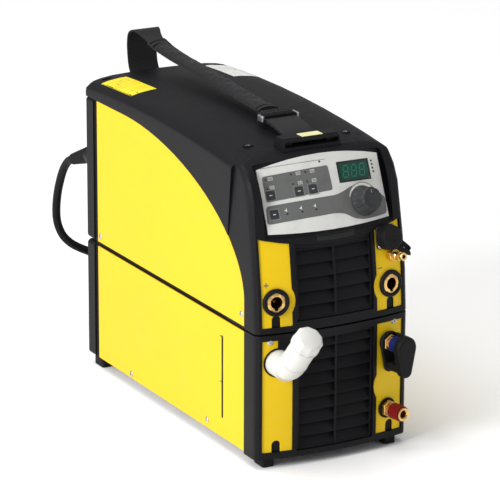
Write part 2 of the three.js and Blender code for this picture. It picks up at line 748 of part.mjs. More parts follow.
/** A block that holds the strap's end behind a slot. */
function addAnchor() {
  const [front, rear] = [ANCHOR_Y - ANCHOR_DEPTH / 2, ANCHOR_Y + ANCHOR_DEPTH / 2];
  const [low, high] = [ANCHOR_BASE_Z + GAP, ANCHOR_BASE_Z + 2.5 + ANCHOR_HEIGHT];
  const side = [
    new THREE.Vector2(front, low), new THREE.Vector2(rear, low),
    new THREE.Vector2(rear, high - 1), new THREE.Vector2(rear - 1, high),
    new THREE.Vector2(front + 6, high), new THREE.Vector2(front + 1.5, high - 3),
  ];
  const ends = [
    new THREE.Vector2(-ANCHOR_HALF, low - 1), new THREE.Vector2(ANCHOR_HALF, low - 1),
    new THREE.Vector2(ANCHOR_HALF - 3, high + 1), new THREE.Vector2(3 - ANCHOR_HALF, high + 1),
  ];
  const body = prism(side, "x", -ANCHOR_HALF, ANCHOR_HALF)
    .intersect(prism(ends, "y", front - 1, rear + 1));
  const slot = block([-33, 33], [front - 5, front + 7], [low + 4, low + 9]);
  const passage = block([-SLOT_HALF, SLOT_HALF], [front - 5, rear + 5], [low + 4.5, low + 8.5]);
  add(machine, "strap_anchor", "black", cut(body, slot, passage));
}

// ---------------------------------------------------------------- rear frames

/** Louvre slots across a rear wall. */
function rearSlots(centreX, halfWidth, low, high) {
  const slots = [];
  for (let z = low; z <= high; z += 9) {
    slots.push(block([centreX - halfWidth, centreX + halfWidth], [REAR_Y - 10, REAR_Y + 5],
      [z, z + 4]));
  }
  return slots;
}

/** A rear frame: a proud band, a groove next to the side panels, and a louvred wall. */
function rearFrame(low, high, fan, halfSlots) {
  const groove = PANEL_REAR_Y + 11;
  const band = prism(roundedRect(0, (low + high) / 2, 2 * HALF_WIDTH - 1, high - low, 5),
    "y", groove, REAR_Y, 4);
  const neck = block([2.2 - HALF_WIDTH, HALF_WIDTH - 2.2], [PANEL_REAR_Y - 6, groove],
    [low + 1.5, high - 1.5]);
  const hollow = block([5.2 - HALF_WIDTH, HALF_WIDTH - 5.2], [PANEL_REAR_Y - 10, REAR_Y - WALL],
    [low + 4.5, high - 4.5]);
  const boss = rod(14, REAR_Y - fan.y - 1, [fan.x, REAR_Y - 1, fan.z], [0, -1, 0], 20);
  const slots = rearSlots(fan.x, halfSlots, fan.z - 44, fan.z + 40);
  const hub = rod(18, 4, [fan.x, REAR_Y, fan.z], [0, -1, 0], 20);
  return joined(cut(joined(band, neck), hollow, ...slots), boss, hub.translate([0, 0.8, 0]));
}

const REAR_LOOP_Z = 306;

function addRearFrames() {
  const top = ARC_LOW_Z + ARC_HEIGHT;
  add(machine, "rear_frame_lower", "black",
    rearFrame(FOOT_HEIGHT, LOWER_TOP, FAN_LOWER, 48));
  const upper = rearFrame(UPPER_BOTTOM, top, FAN_UPPER, 48);
  const loop = block([-27, 27], [REAR_Y - 1, REAR_Y + 13], [REAR_LOOP_Z - 6, REAR_LOOP_Z + 6]);
  const passage = block([-SLOT_HALF, SLOT_HALF], [REAR_Y + 4, REAR_Y + 9],
    [REAR_LOOP_Z - 10, REAR_LOOP_Z + 10]);
  add(machine, "rear_frame_upper", "black", cut(joined(upper, loop), passage,
    rod(GLAND_NUT_R - 3, 20, [GLAND_X, REAR_Y + 5, GLAND_Z], [0, -1, 0]),
    rod(6.5, 20, [INLET.x, REAR_Y + 5, INLET.z], [0, -1, 0]),
    rod(7.5, 20, [SWITCH.x, REAR_Y + 5, SWITCH.z], [0, -1, 0])));
}

// ---------------------------------------------------------------- chassis and feet

/** A folded tray: a floor with two raised edges. */
function tray(z, high) {
  const [half, edge] = [HALF_WIDTH - SHEET - 0.8, 2];
  return prism([
    new THREE.Vector2(-half, z), new THREE.Vector2(half, z), new THREE.Vector2(half, high),
    new THREE.Vector2(half - edge, high), new THREE.Vector2(half - edge, z + edge),
    new THREE.Vector2(edge - half, z + edge), new THREE.Vector2(edge - half, high),
    new THREE.Vector2(-half, high),
  ], "y", PANEL_FRONT_Y + 4, PANEL_REAR_Y - 8);
}

function addChassis() {
  add(machine, "base_plate", "steel", tray(FOOT_HEIGHT + 3.5, FOOT_HEIGHT + 20));
  add(machine, "deck_plate", "steel", tray(UPPER_BOTTOM + 3.5, UPPER_BOTTOM + 20));
}

const FEET = {
  foot_front_left: [-76, -182], foot_front_right: [76, -182],
  foot_rear_left: [-83, 190], foot_rear_right: [83, 190],
};

function addFeet() {
  for (const [name, [x, y]] of Object.entries(FEET)) {
    const body = prism(roundedRect(x, y, 14, 22, 3), "z", 0, FOOT_HEIGHT - GAP, 3);
    add(machine, name, "rubber", body);
  }
}

// ---------------------------------------------------------------- control panel

function addControlPanel() {
  const label = prism(panelShape(0), "y", -30, 30)
    .intersect(bentSlab(0, LABEL_THICK, 110, -90, 90));
  const inverse = controlPanel.matrixWorld.clone().invert();
  const holes = panelHoles(0).map((hole) => toSolid(toGeometry(hole).applyMatrix4(inverse)));
  add(controlPanel, "control_label", "label", cut(label, ...holes));

  const screen = prism(
    roundedRect(DISPLAY.x, DISPLAY.s, DISPLAY.width, DISPLAY.height, 1.2), "y", -20, 30, 2)
    .intersect(bentSlab(0.2, LABEL_THICK, 110, -90, 90));
  add(controlPanel, "display_window", "glass", screen);

  for (const name of Object.keys(BUTTONS)) {
    const key = prism(roundedRect(0, 0, BUTTON_SIZE, BUTTON_SIZE, 1.2), "y", -BUTTON_PROUD, 5, 2);
    add(seats[name], name, "darkGrey", key);
  }

  const board = block([-72, 72], [BOARD_DEPTH + 6, BOARD_DEPTH + 7.6], [-34, 34]);
  const shaftEnd = seats.knob.position.y + KNOB_SHAFT + GAP;
  const encoder = rod(6, BOARD_DEPTH + 7 - shaftEnd, [KNOB_X, BOARD_DEPTH + 7, KNOB_S],
    [0, -1, 0], 16);
  add(controlPanel, "control_board", "board", joined(board, encoder));

  add(seats.knob, "control_knob", "darkGrey", knob());
}

/** A round knob with finger grooves and a shaft. */
function knob() {
  const body = turned([
    [0, KNOB_SHAFT], [SHAFT_R, KNOB_SHAFT], [SHAFT_R, -0.6], [KNOB_BASE_R, -0.6], [KNOB_BASE_R, -2.6],
    [KNOB_BASE_R - 1.2, -3.6], [KNOB_FRONT_R + 0.9, 1 - KNOB_HEIGHT], [KNOB_FRONT_R, -KNOB_HEIGHT],
    [0, -KNOB_HEIGHT],
  ], [0, 0, 0], [0, 1, 0], 24);
  const grooves = [];
  for (let i = 0; i < 12; i++) {
    const angle = (Math.PI / 6) * i;
    const [x, z] = [(KNOB_BASE_R + 1.4) * Math.cos(angle), (KNOB_BASE_R + 1.4) * Math.sin(angle)];
    grooves.push(rod(2.6, KNOB_HEIGHT, [x, -4.2, z], [0, -1, 0], 10));
  }
  return cut(body, ...grooves);
}

// ---------------------------------------------------------------- sockets and connectors

function addSocket(seat, sign) {
  const ring = turned([
    [SOCKET_RING_R - 4, 0], [SOCKET_RING_R, 0], [SOCKET_RING_R, 2.4],
    [SOCKET_RING_R - 1, 3.4], [SOCKET_RING_R - 4, 3.4], [SOCKET_RING_R - 4, 0],
  ].map(([r, h]) => [r, h + GAP]), [0, 0, 0], [0, -1, 0], 24);
  const disc = rod(SOCKET_RING_R - 3.5, 3, [0, -GAP, 0], [0, -1, 0], 24);
  const neck = rod(SOCKET_RING_R - 2.5, 12, [0, 10, 0], [0, -1, 0], 20);
  const body = joined(ring, disc, neck);
  add(seat, `socket_ring_${sign}`, "black", cut(body, hexBar(SOCKET_HEX + 2 * GAP, -20, 30)));
  const bore = rod(SOCKET_BORE_R, 30, [0, 20, 0], [0, -1, 0], 24);
  const key = block([0, SOCKET_BORE_R + 2.6], [-12, 20], [-2, 2]);
  add(seat, `socket_contact_${sign}`, "brass",
    cut(hexBar(SOCKET_HEX, -2, SOCKET_LENGTH - 2), bore, key));
}

/** The remote connector's square flange, grown by a clearance. */
function remoteFlange(grow) {
  const size = 25 + 2 * grow;
  return prism(roundedRect(0, 0, size, size, 3), "y", -2.2 - 10 * grow, -GAP, 3);
}

function addRemoteConnector() {
  const flange = remoteFlange(0);
  const lip = rod(REMOTE_R, REMOTE_LENGTH, [0, -1, 0], [0, -1, 0], 24);
  const body = rod(REMOTE_R, 16, [0, 14, 0], [0, -1, 0], 24);
  const hollow = rod(REMOTE_R - 1.5, REMOTE_LENGTH, [0, -3, 0], [0, -1, 0], 24);
  const pins = joined(...[0, 1, 2, 3, 4].map((i) => {
    const angle = (2 * Math.PI * i) / 5;
    return rod(0.9, 6, [5 * Math.cos(angle), -2, 5 * Math.sin(angle)], [0, -1, 0], 8);
  }));
  add(seats.remote, "remote_connector", "darkGrey", joined(cut(joined(flange, lip, body), hollow), pins));
  const front = -3.2 - CAP_DEPTH;
  const cap = turned([
    [REMOTE_R + GAP, -2.6], [CAP_R, -2.6], [CAP_R, front + 1.5], [CAP_R - 1.5, front], [0, front],
    [0, front + 2], [REMOTE_R + GAP, front + 2], [REMOTE_R + GAP, -2.6],
  ], [0, 0, 0], [0, 1, 0], 24);
  add(seats.remote, "remote_cap", "rubber", cap);
}

function addGasOutlet() {
  const nut = hexBar(12, -6.5, -GAP);
  const tail = rod(GAS_R, 24, [0, 18, 0], [0, -1, 0], 20);
  const spigot = turned([
    [0, -6], [4.6, -6], [4.6, -11], [3.6, -12.5], [4.8, -16], [4.8, -20], [4, -22], [0, -22],
  ], [0, 0, 0], [0, 1, 0], 20);
  const bore = rod(2.3, 50, [0, 20, 0], [0, -1, 0], 12);
  add(seats.gas, "gas_outlet", "brass", cut(joined(nut, tail, spigot), bore));
}

// ---------------------------------------------------------------- cooler fittings

function addFiller() {
  const neck = new THREE.Group();
  seats.filler.add(neck);
  neck.rotation.z = -seats.filler.rotation.z;
  const path = new THREE.CurvePath();
  const knee = new THREE.Vector3(0, -FILLER_OUT, 0);
  const rise = new THREE.Vector3(0, -Math.cos(FILLER_BEND), Math.sin(FILLER_BEND));
  const bendRun = 13;
  const start = new THREE.Vector3(0, 28, 0);
  const bendIn = knee.clone().add(new THREE.Vector3(0, bendRun, 0));
  const bendOut = knee.clone().addScaledVector(rise, bendRun);
  const end = knee.clone().addScaledVector(rise, FILLER_RUN);
  path.add(new THREE.LineCurve3(start, bendIn));
  path.add(new THREE.QuadraticBezierCurve3(bendIn, knee, bendOut));
  path.add(new THREE.LineCurve3(bendOut, end));
  add(neck, "filler_neck", "white",
    cut(sweep(path, FILLER_R, 9, 18), sweep(path, FILLER_R - FILLER_WALL, 9, 18, 1)));

  const cap = new THREE.Group();
  cap.position.copy(end);
  cap.quaternion.setFromUnitVectors(new THREE.Vector3(0, 1, 0), rise);
  neck.add(cap);
  const [inner, low, high] = [FILLER_R + GAP, -9, FILLER_CAP_HEIGHT - 9];
  add(cap, "filler_cap", "white", turned([
    [inner, low], [FILLER_CAP_R - 0.6, low], [FILLER_CAP_R, low + 1], [FILLER_CAP_R, high - 4],
    [FILLER_CAP_R - 1.5, high - 1.2], [FILLER_CAP_R - 5, high], [0, high], [0, GAP],
    [inner, GAP], [inner, low],
  ], [0, 0, 0], [0, 1, 0], 24));
}

/** A round bar along a path; lengthen pushes both ends out along their tangents. */
function sweep(path, radius, steps, sides, lengthen = 0) {
  const points = path.getSpacedPoints(steps);
  if (lengthen) {
    points.unshift(points[0].clone().addScaledVector(path.getTangent(0), -lengthen));
    points.push(points[points.length - 1].clone().addScaledVector(path.getTangent(1), lengthen));
  }
  const curve = new THREE.CatmullRomCurve3(points, false, "centripetal");
  const section = new THREE.Shape();
  for (let i = 0; i < sides; i++) {
    const angle = (2 * Math.PI * i) / sides;
    const corner = [radius * Math.cos(angle), radius * Math.sin(angle)];
    if (i === 0) section.moveTo(...corner);
    else section.lineTo(...corner);
  }
  section.closePath();
  return toSolid(new THREE.ExtrudeGeometry(section, {
    steps: points.length - 1, extrudePath: curve, bevelEnabled: false,
  }));
}

/** A quick coupling: nut, body and a sliding colour sleeve. */
function addCoupling(seat, colour) {
  const backing = rod(11, 2, [0, -GAP, 0], [0, -1, 0], 20);
  const nut = hexBar(17, -7.5, -2);
  const body = rod(COUPLING_R, COUPLING_LENGTH + 18, [0, 18, 0], [0, -1, 0], 24);
  const stop = rod(SLEEVE_R - 1.4, 2.5, [0, 2.5 - COUPLING_LENGTH, 0], [0, -1, 0], 24);
  const bore = rod(4, 70, [0, 25, 0], [0, -1, 0], 20);
  add(seat, `coupling_${colour}`, "brass", cut(joined(backing, nut, body, stop), bore));
  const near = -COUPLING_LENGTH + 3;
  const far = near + SLEEVE_LENGTH;
  add(seat, `sleeve_${colour}`, colour, turned([
    [COUPLING_R + GAP, far], [SLEEVE_R - 1, far], [SLEEVE_R, far - 1.5], [SLEEVE_R, near + 1.5],
    [SLEEVE_R - 1, near], [COUPLING_R + GAP, near], [COUPLING_R + GAP, far],
  ], [0, 0, 0], [0, 1, 0], 20));
}

/** A drop-shaped outline: a large circle above a small one. */
function dropShape(grow) {
  const shape = new THREE.Shape();
  shape.absarc(0, 0, COVER_TOP_R + grow, -0.18, Math.PI + 0.18);
  shape.absarc(0, -COVER_DROP, COVER_LOW_R + grow, Math.PI + 0.18, 2 * Math.PI - 0.18);
  shape.closePath();
  return shape;
}

function addCouplingCover() {
  const front = -COUPLING_LENGTH - 5;
  const shell = cut(
    prism(dropShape(0), "y", front, -2.6, 12), prism(dropShape(-2), "y", front + 4, 2, 12));
  const side = block([-30, -2], [front + 4, -3.5], [-18, 8.5]);
  add(seats.blue, "coupling_cover", "rubber", cut(shell, side));
}

// ---------------------------------------------------------------- rear fittings

const SWITCH = { x: 62, z: 296 };
const INLET = { x: 72, z: 236 };

function addRearFittings() {
  const boss = rod(7, 18, [SWITCH.x, REAR_Y - 14, SWITCH.z], [0, 1, 0], 20);
  const disc = rod(15, 3.2, [SWITCH.x, REAR_Y + 0.6, SWITCH.z], [0, 1, 0], 20);
  const grip = prism(roundedRect(SWITCH.x, SWITCH.z, 8, 27, 3.5), "y", REAR_Y + 3, REAR_Y + 16, 4);
  add(machine, "mains_switch", "black", joined(boss, disc, grip));

  const nut = hexBar(14, 0.4, 6).translate([INLET.x, REAR_Y, INLET.z]);
  const tail = turned([
    [0, -20], [6, -20], [6, 5], [4.4, 5], [4.4, 8], [5.4, 9.5], [4.2, 12], [5.4, 13.5],
    [4.2, 16], [5, 17.5], [3.6, 20], [0, 20],
  ], [INLET.x, REAR_Y, INLET.z], [0, 1, 0], 20);
  const bore = rod(2.4, 60, [INLET.x, REAR_Y - 30, INLET.z], [0, 1, 0], 12);
  add(machine, "gas_inlet", "brass", cut(joined(nut, tail), bore));
}

// ---------------------------------------------------------------- inside

/** A fan rotor with seven pitched blades, on an axis along Y. */
function fanRotor(centre) {
  const parts = [rod(17, FAN_DEPTH, [0, -FAN_DEPTH, 0], [0, 1, 0], 24)];
  for (let i = 0; i < 7; i++) {
    const blade = new THREE.BoxGeometry(FAN_R - 12, 1.8, FAN_DEPTH);
    blade.rotateX(THREE.MathUtils.degToRad(52));
    blade.translate((FAN_R + 12) / 2, -FAN_DEPTH / 2, 0);
    blade.rotateY((2 * Math.PI * i) / 7);
    parts.push(toSolid(blade));
  }
  return joined(...parts).translate([centre.x, centre.y - 0.5, centre.z]);
}

function addPowerSourceInside() {
  add(machine, "fan_upper", "black", fanRotor(FAN_UPPER));
  const [low, high] = [UPPER_BOTTOM + 6.5, 232];
  const core = block([-62, 62], [-70, 110], [low, low + 12]);
  const fins = [];
  for (let x = -62; x <= 58; x += 10) {
    fins.push(block([x, x + 3], [-70, 110], [low + 10, high]));
  }
  add(machine, "heat_sink", "aluminium", joined(core, ...fins));
  const limb = roundedRect(10, 266, 92, 56, 8);
  const windings = prism(limb, "y", -48, 74, 5);
  const core2 = block([-8, 28], [-64, 90], [high + 2, 304]);
  add(machine, "transformer", "steel", joined(windings, core2));
}

function addCoolerInside() {
  add(machine, "fan_lower", "black", fanRotor(FAN_LOWER));
  const corner = roundedRect((TANK.x[0] + TANK.x[1]) / 2, (TANK.y[0] + TANK.y[1]) / 2,
    TANK.x[1] - TANK.x[0], TANK.y[1] - TANK.y[0], 10);
  add(machine, "coolant_tank", "white", cut(
    prism(corner, "z", TANK.z[0], TANK.z[1], 5),
    block([FILLER_X - 25, FILLER_X + 20], [-175, -150], [96, 140])));
  const pump = joined(
    rod(26, 60, [38, -70, 56], [0, 1, 0], 24), rod(19, 62, [38, -11, 56], [0, 1, 0], 20),
    block([16, 60], [-66, 44], [20, 40]));
  add(machine, "pump", "darkGrey", pump);
  const fins = [];
  for (let z = 28; z <= 132; z += 26) {
    fins.push(block([-66, 80], [102, 146], [z, z + 3]));
  }
  const tubes = [-44, 4, 52].map((x) => block([x, x + 8], [106, 142], [22, 140]));
  const heads = [[-72, -64], [78, 86]].map((x) => block(x, [100, 148], [20, 142]));
  add(machine, "radiator", "aluminium", joined(...fins, ...tubes, ...heads));
}

// ---------------------------------------------------------------- strap

/** The strap's middle line, from the front anchor back to the loop on the rear frame. */
const STRAP_ROUTE = [
  [-139, ANCHOR_BASE_Z + 6.8], [-126, ANCHOR_BASE_Z + 7.4], [-112, 346.5], [-92, 350.5],
  [-66, 353], [-30, 355], [10, 357.5], [60, 361], [110, 364], [160, 366.5], [200, 371],
  [224, 377.5], [238, 383], [247, 380], [251, 369], [250, 350], [246, 336], [236, 325.5],
  [224, 320.5], [216.5, 315], [214.5, 307], [214.5, 298],
];
const PAD_FROM = 0.18;
const PAD_TO = 0.72;

function strapCurve(from, to) {
  const points = STRAP_ROUTE.map(([y, z]) => new THREE.Vector3(0, y, z));
  const whole = new THREE.CatmullRomCurve3(points, false, "centripetal");
  const steps = Math.round(56 * (to - from));
  const part = [];
  for (let i = 0; i <= steps; i++) {
    part.push(whole.getPointAt(from + ((to - from) * i) / steps));
  }
  return part;
}

/** A flat band along the strap, with an optional lengthwise hollow. */
function strapBand(from, to, width, thick) {
  const centre = strapCurve(from, to);
  const [over, under] = [[], []];
  centre.forEach((point, i) => {
    const before = centre[Math.max(0, i - 1)];
    const after = centre[Math.min(centre.length - 1, i + 1)];
    const along = after.clone().sub(before).normalize();
    const normal = new THREE.Vector2(-along.z, along.y).multiplyScalar(thick / 2);
    over.push(new THREE.Vector2(point.y + normal.x, point.z + normal.y));
    under.push(new THREE.Vector2(point.y - normal.x, point.z - normal.y));
  });
  return prism([...under, ...over.reverse()], "x", -width / 2, width / 2);
}

function addStrap() {
  const padLine = strapCurve(PAD_FROM, PAD_TO);
  const padY = [padLine[0].y - 8, padLine[padLine.length - 1].y + 8];
  const beside = (side) => block(
    [side * FOLD_WIDTH / 2, side * STRAP_WIDTH].sort((a, b) => a - b), padY, [300, 420]);
  const strap = cut(strapBand(0, 1, STRAP_WIDTH, STRAP_THICK), joined(beside(-1), beside(1)));
  add(machine, "carry_strap", "fabric", strap);
  const tunnel = strapBand(PAD_FROM - 0.02, PAD_TO + 0.02, FOLD_WIDTH + 1, STRAP_THICK + 1);
  add(machine, "strap_pad", "fabric", cut(strapBand(PAD_FROM, PAD_TO, PAD_WIDTH, PAD_THICK), tunnel));
  const slider = cut(
    strapBand(0.125, 0.145, STRAP_WIDTH + 8, 6), strapBand(0.1, 0.17, STRAP_WIDTH + 1, STRAP_THICK + 1));
  add(machine, "strap_slider", "steel", slider);
}

// ---------------------------------------------------------------- mains cord

/** The cord's free run from its strain relief to the top of the coil, as (x, y, z). */
const CORD_ROUTE = [
  [-77, 279.6, 226.7], [-77, 291, 221.5], [-77, 301.5, 212.5], [-76.8, 310, 201.5],
  [-76.5, 317, 189.5], [-76.2, 323, 177], [-75.8, 327.5, 164.5], [-75, 331, 152],
  [-73.8, 332.8, 140], [-71.3, 332.6, 128.5], [-66.8, 330, 117.5], [-59, 327, 108.5],
  [-48.5, 325.3, 101.5], [-36.5, 325.3, 95.3], [-22, 327, 88], [-6, 330.5, 79.5],
  [10, 335, 69.8], [25, 338.8, 59.6], [38.5, 341, 49.8], [50, 341.5, 42.2],
  [60, 340.4, 37.2],
];
const COIL = { x: 50, y: 297, inner: 39.3, outer: 70.5, height: 31 };
const PLUG = { lead: 38, side: 66.8, noseR: 5.5, noseLength: 24, bodyR: 18.5, bodyLength: 32,
  shoulder: 12 };
const PIN_LENGTH = 19;

function addGlandAndCord() {
  const nut = joined(
    hexBar(2 * GLAND_NUT_R - 2, -9, -GAP).mirror([0, 1, 0]),
    rod(GLAND_NUT_R - 1.5, GLAND_LENGTH - 8, [0, 8, 0], [0, 1, 0], 20),
    rod(GLAND_NUT_R - 3.5, 20, [0, -18, 0], [0, 1, 0], 20));
  const relief = turned(reliefProfile(), [0, GLAND_LENGTH - 1, 0],
    [0, Math.cos(RELIEF_DROOP), -Math.sin(RELIEF_DROOP)], 16);
  add(machine, "cable_gland", "black",
    joined(nut, relief).translate([GLAND_X, REAR_Y, GLAND_Z]));

  const route = new THREE.CatmullRomCurve3(
    CORD_ROUTE.map((point) => new THREE.Vector3(...point)), false, "centripetal");
  add(machine, "mains_cord", "rubber", sweep(route, CORD_R, 36, 8));
  add(machine, "cord_coil", "rubber", turned([
    [COIL.inner, 0], [COIL.outer, 0], [COIL.outer, COIL.height], [COIL.inner, COIL.height],
    [COIL.inner, 0],
  ], [COIL.x, COIL.y, 0], [0, 0, 1], 40));
  addPlug();
}

/** The ribbed strain relief, tapering towards the cord. */
function reliefProfile() {
  const profile = [[0, 0]];
  const ribs = 6;
  const pitch = RELIEF_LENGTH / ribs;
  for (let i = 0; i < ribs; i++) {
    const radius = THREE.MathUtils.lerp(10, 7.2, i / (ribs - 1));
    const height = pitch * i;
    profile.push([radius, height], [radius, height + 5], [radius - 1.6, height + 5],
      [radius - 1.6, height + pitch]);
  }
  profile.push([0, RELIEF_LENGTH]);
  return profile;
}

/** A round two-pin plug that lies beside the coil, its nose low on the cord. */
function addPlug() {
  const plug = new THREE.Group();
  const tilt = Math.atan((PLUG.bodyR - PLUG.noseR) / (PLUG.noseLength + PLUG.shoulder));
  plug.position.set(COIL.x - PLUG.lead, COIL.y - PLUG.side, PLUG.noseR + 2 * GAP);
  plug.quaternion.setFromUnitVectors(
    new THREE.Vector3(0, 1, 0), new THREE.Vector3(-Math.cos(tilt), 0, Math.sin(tilt)));
  machine.add(plug);
  const [nose, body] = [PLUG.noseLength, PLUG.noseLength + PLUG.bodyLength];
  const shell = turned([
    [0, 0], [PLUG.noseR, 0], [9, nose], [15.5, nose + 4],
    [PLUG.bodyR, nose + PLUG.shoulder],
    [PLUG.bodyR, body], [0, body],
  ], [0, 0, 0], [0, 1, 0], 24);
  const pins = [-9.5, 9.5].map((x) => rod(2.4, PIN_LENGTH + 1, [x, body - 1, 0], [0, 1, 0], 10));
  add(plug, "mains_plug", "rubber", joined(shell, ...pins));
}

// ---------------------------------------------------------------- place on the floor

const LOOSE = ["mains_cord", "cord_coil", "mains_plug"];

/** Stands the machine on the floor with the middle of its footprint at the origin. */
function centre() {
  machine.updateMatrixWorld(true);
  const box = new THREE.Box3();
  machine.traverse((object) => {
    if (object.isMesh && !LOOSE.includes(object.name)) {
      box.expandByObject(object, true);
    }
  });
  const middle = box.getCenter(new THREE.Vector3());
  machine.position.set(-middle.x, -middle.y, -box.min.z);
}

addFrontPlates();
addLowerFrontFrame();
addUpperFrontFrame();
addGrilles();
addSidePanels();
addTopCover();
addAnchor();
addRearFrames();
addChassis();
addFeet();
addControlPanel();
addSocket(seats.plus, "plus");
addSocket(seats.minus, "minus");
addRemoteConnector();
addGasOutlet();
addFiller();
addCoupling(seats.blue, "blue");
addCoupling(seats.red, "red");
addCouplingCover();
addRearFittings();
addPowerSourceInside();
addCoolerInside();
addStrap();
addGlandAndCord();
centre();

export default machine;
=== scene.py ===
"""Visual model of a TIG welding machine that stands on its own water cooler."""
import json
import logging
import math
from dataclasses import dataclass
from enum import Enum
from typing import Callable, Iterable

import bmesh
import bpy
from mathutils import Matrix, Vector
from mathutils.bvhtree import BVHTree

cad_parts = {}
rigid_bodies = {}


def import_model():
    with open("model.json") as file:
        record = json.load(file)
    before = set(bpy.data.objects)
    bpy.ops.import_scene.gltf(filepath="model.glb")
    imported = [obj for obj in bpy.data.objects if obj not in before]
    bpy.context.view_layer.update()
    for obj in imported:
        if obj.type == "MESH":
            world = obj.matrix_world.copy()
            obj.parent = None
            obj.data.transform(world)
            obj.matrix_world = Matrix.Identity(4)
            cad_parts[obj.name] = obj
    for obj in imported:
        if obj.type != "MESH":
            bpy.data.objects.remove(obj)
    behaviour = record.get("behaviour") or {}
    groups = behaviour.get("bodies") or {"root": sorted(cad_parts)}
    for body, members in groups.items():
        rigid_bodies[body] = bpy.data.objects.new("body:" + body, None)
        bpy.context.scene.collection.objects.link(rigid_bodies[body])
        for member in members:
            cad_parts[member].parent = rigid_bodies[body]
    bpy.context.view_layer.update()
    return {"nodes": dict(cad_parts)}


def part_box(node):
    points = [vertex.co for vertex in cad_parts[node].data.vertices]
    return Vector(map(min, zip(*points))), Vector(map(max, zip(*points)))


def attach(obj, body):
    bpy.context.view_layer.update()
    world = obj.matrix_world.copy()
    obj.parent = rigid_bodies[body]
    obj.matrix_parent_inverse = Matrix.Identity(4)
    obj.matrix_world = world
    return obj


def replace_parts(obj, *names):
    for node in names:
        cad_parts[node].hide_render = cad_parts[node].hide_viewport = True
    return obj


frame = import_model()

log = logging.getLogger("welder")

Point = tuple[float, float]
Colour = tuple[float, float, float]

MM = 0.001
PANEL_FRONT_Y = -169.5  # front edge of the side panels in the casing's own millimetres
SHIFT_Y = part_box("side_panel_lower_left")[0][1] / MM - PANEL_FRONT_Y
TO_ROW = Matrix.Translation((0, SHIFT_Y * MM, 0)) @ Matrix.Scale(MM, 4)

FRONT_Y = -206.0
FRONT_BOW = 430.0
PLATE_SINK = 1.5
FRONT_LEAN = ((153, 0), (200, 3.2), (239, 8.8), (295, 18), (312, 26), (324, 37), (345, 76))
PANEL_LEAN = math.radians(23.5)
PANEL_PLACE = Vector((0, -178.6, 292.7))
MACHINE = "machine"


# ------------------------------------------------------------------ shader values


class Value:
    """A shader output that Python's operators work on."""

    def __init__(self, shader: "Shader", socket: bpy.types.NodeSocket) -> None:
        """Wraps a socket.

        Args:
            shader: the material's node builder.
            socket: the output that carries the value.
        """
        self.shader = shader
        self.socket = socket

    def _math(self, operation: str, first: object, second: object) -> "Value":
        """Adds a Math node for two operands."""
        return self.shader.node("ShaderNodeMath", {"operation": operation}, {0: first, 1: second})

    def __add__(self, other: object) -> "Value":
        """The sum."""
        return self._math("ADD", self, other)

    def __radd__(self, other: object) -> "Value":
        """The sum with a number on the left."""
        return self._math("ADD", other, self)

    def __sub__(self, other: object) -> "Value":
        """The difference."""
        return self._math("SUBTRACT", self, other)

    def __rsub__(self, other: object) -> "Value":
        """The difference with a number on the left."""
        return self._math("SUBTRACT", other, self)

    def __mul__(self, other: object) -> "Value":
        """The product."""
        return self._math("MULTIPLY", self, other)

    def __rmul__(self, other: object) -> "Value":
        """The product with a number on the left."""
        return self._math("MULTIPLY", other, self)

    def between(self, low: float, high: float) -> "Value":
        """A smooth step from 0 at low to 1 at high.

        Args:
            low: where the step starts.
            high: where the step ends.

        Returns:
            The stepped value.
        """
        return self.shader.node(
            "ShaderNodeMapRange", {"interpolation_type": "SMOOTHSTEP"},
            {"Value": self, "From Min": low, "From Max": high})


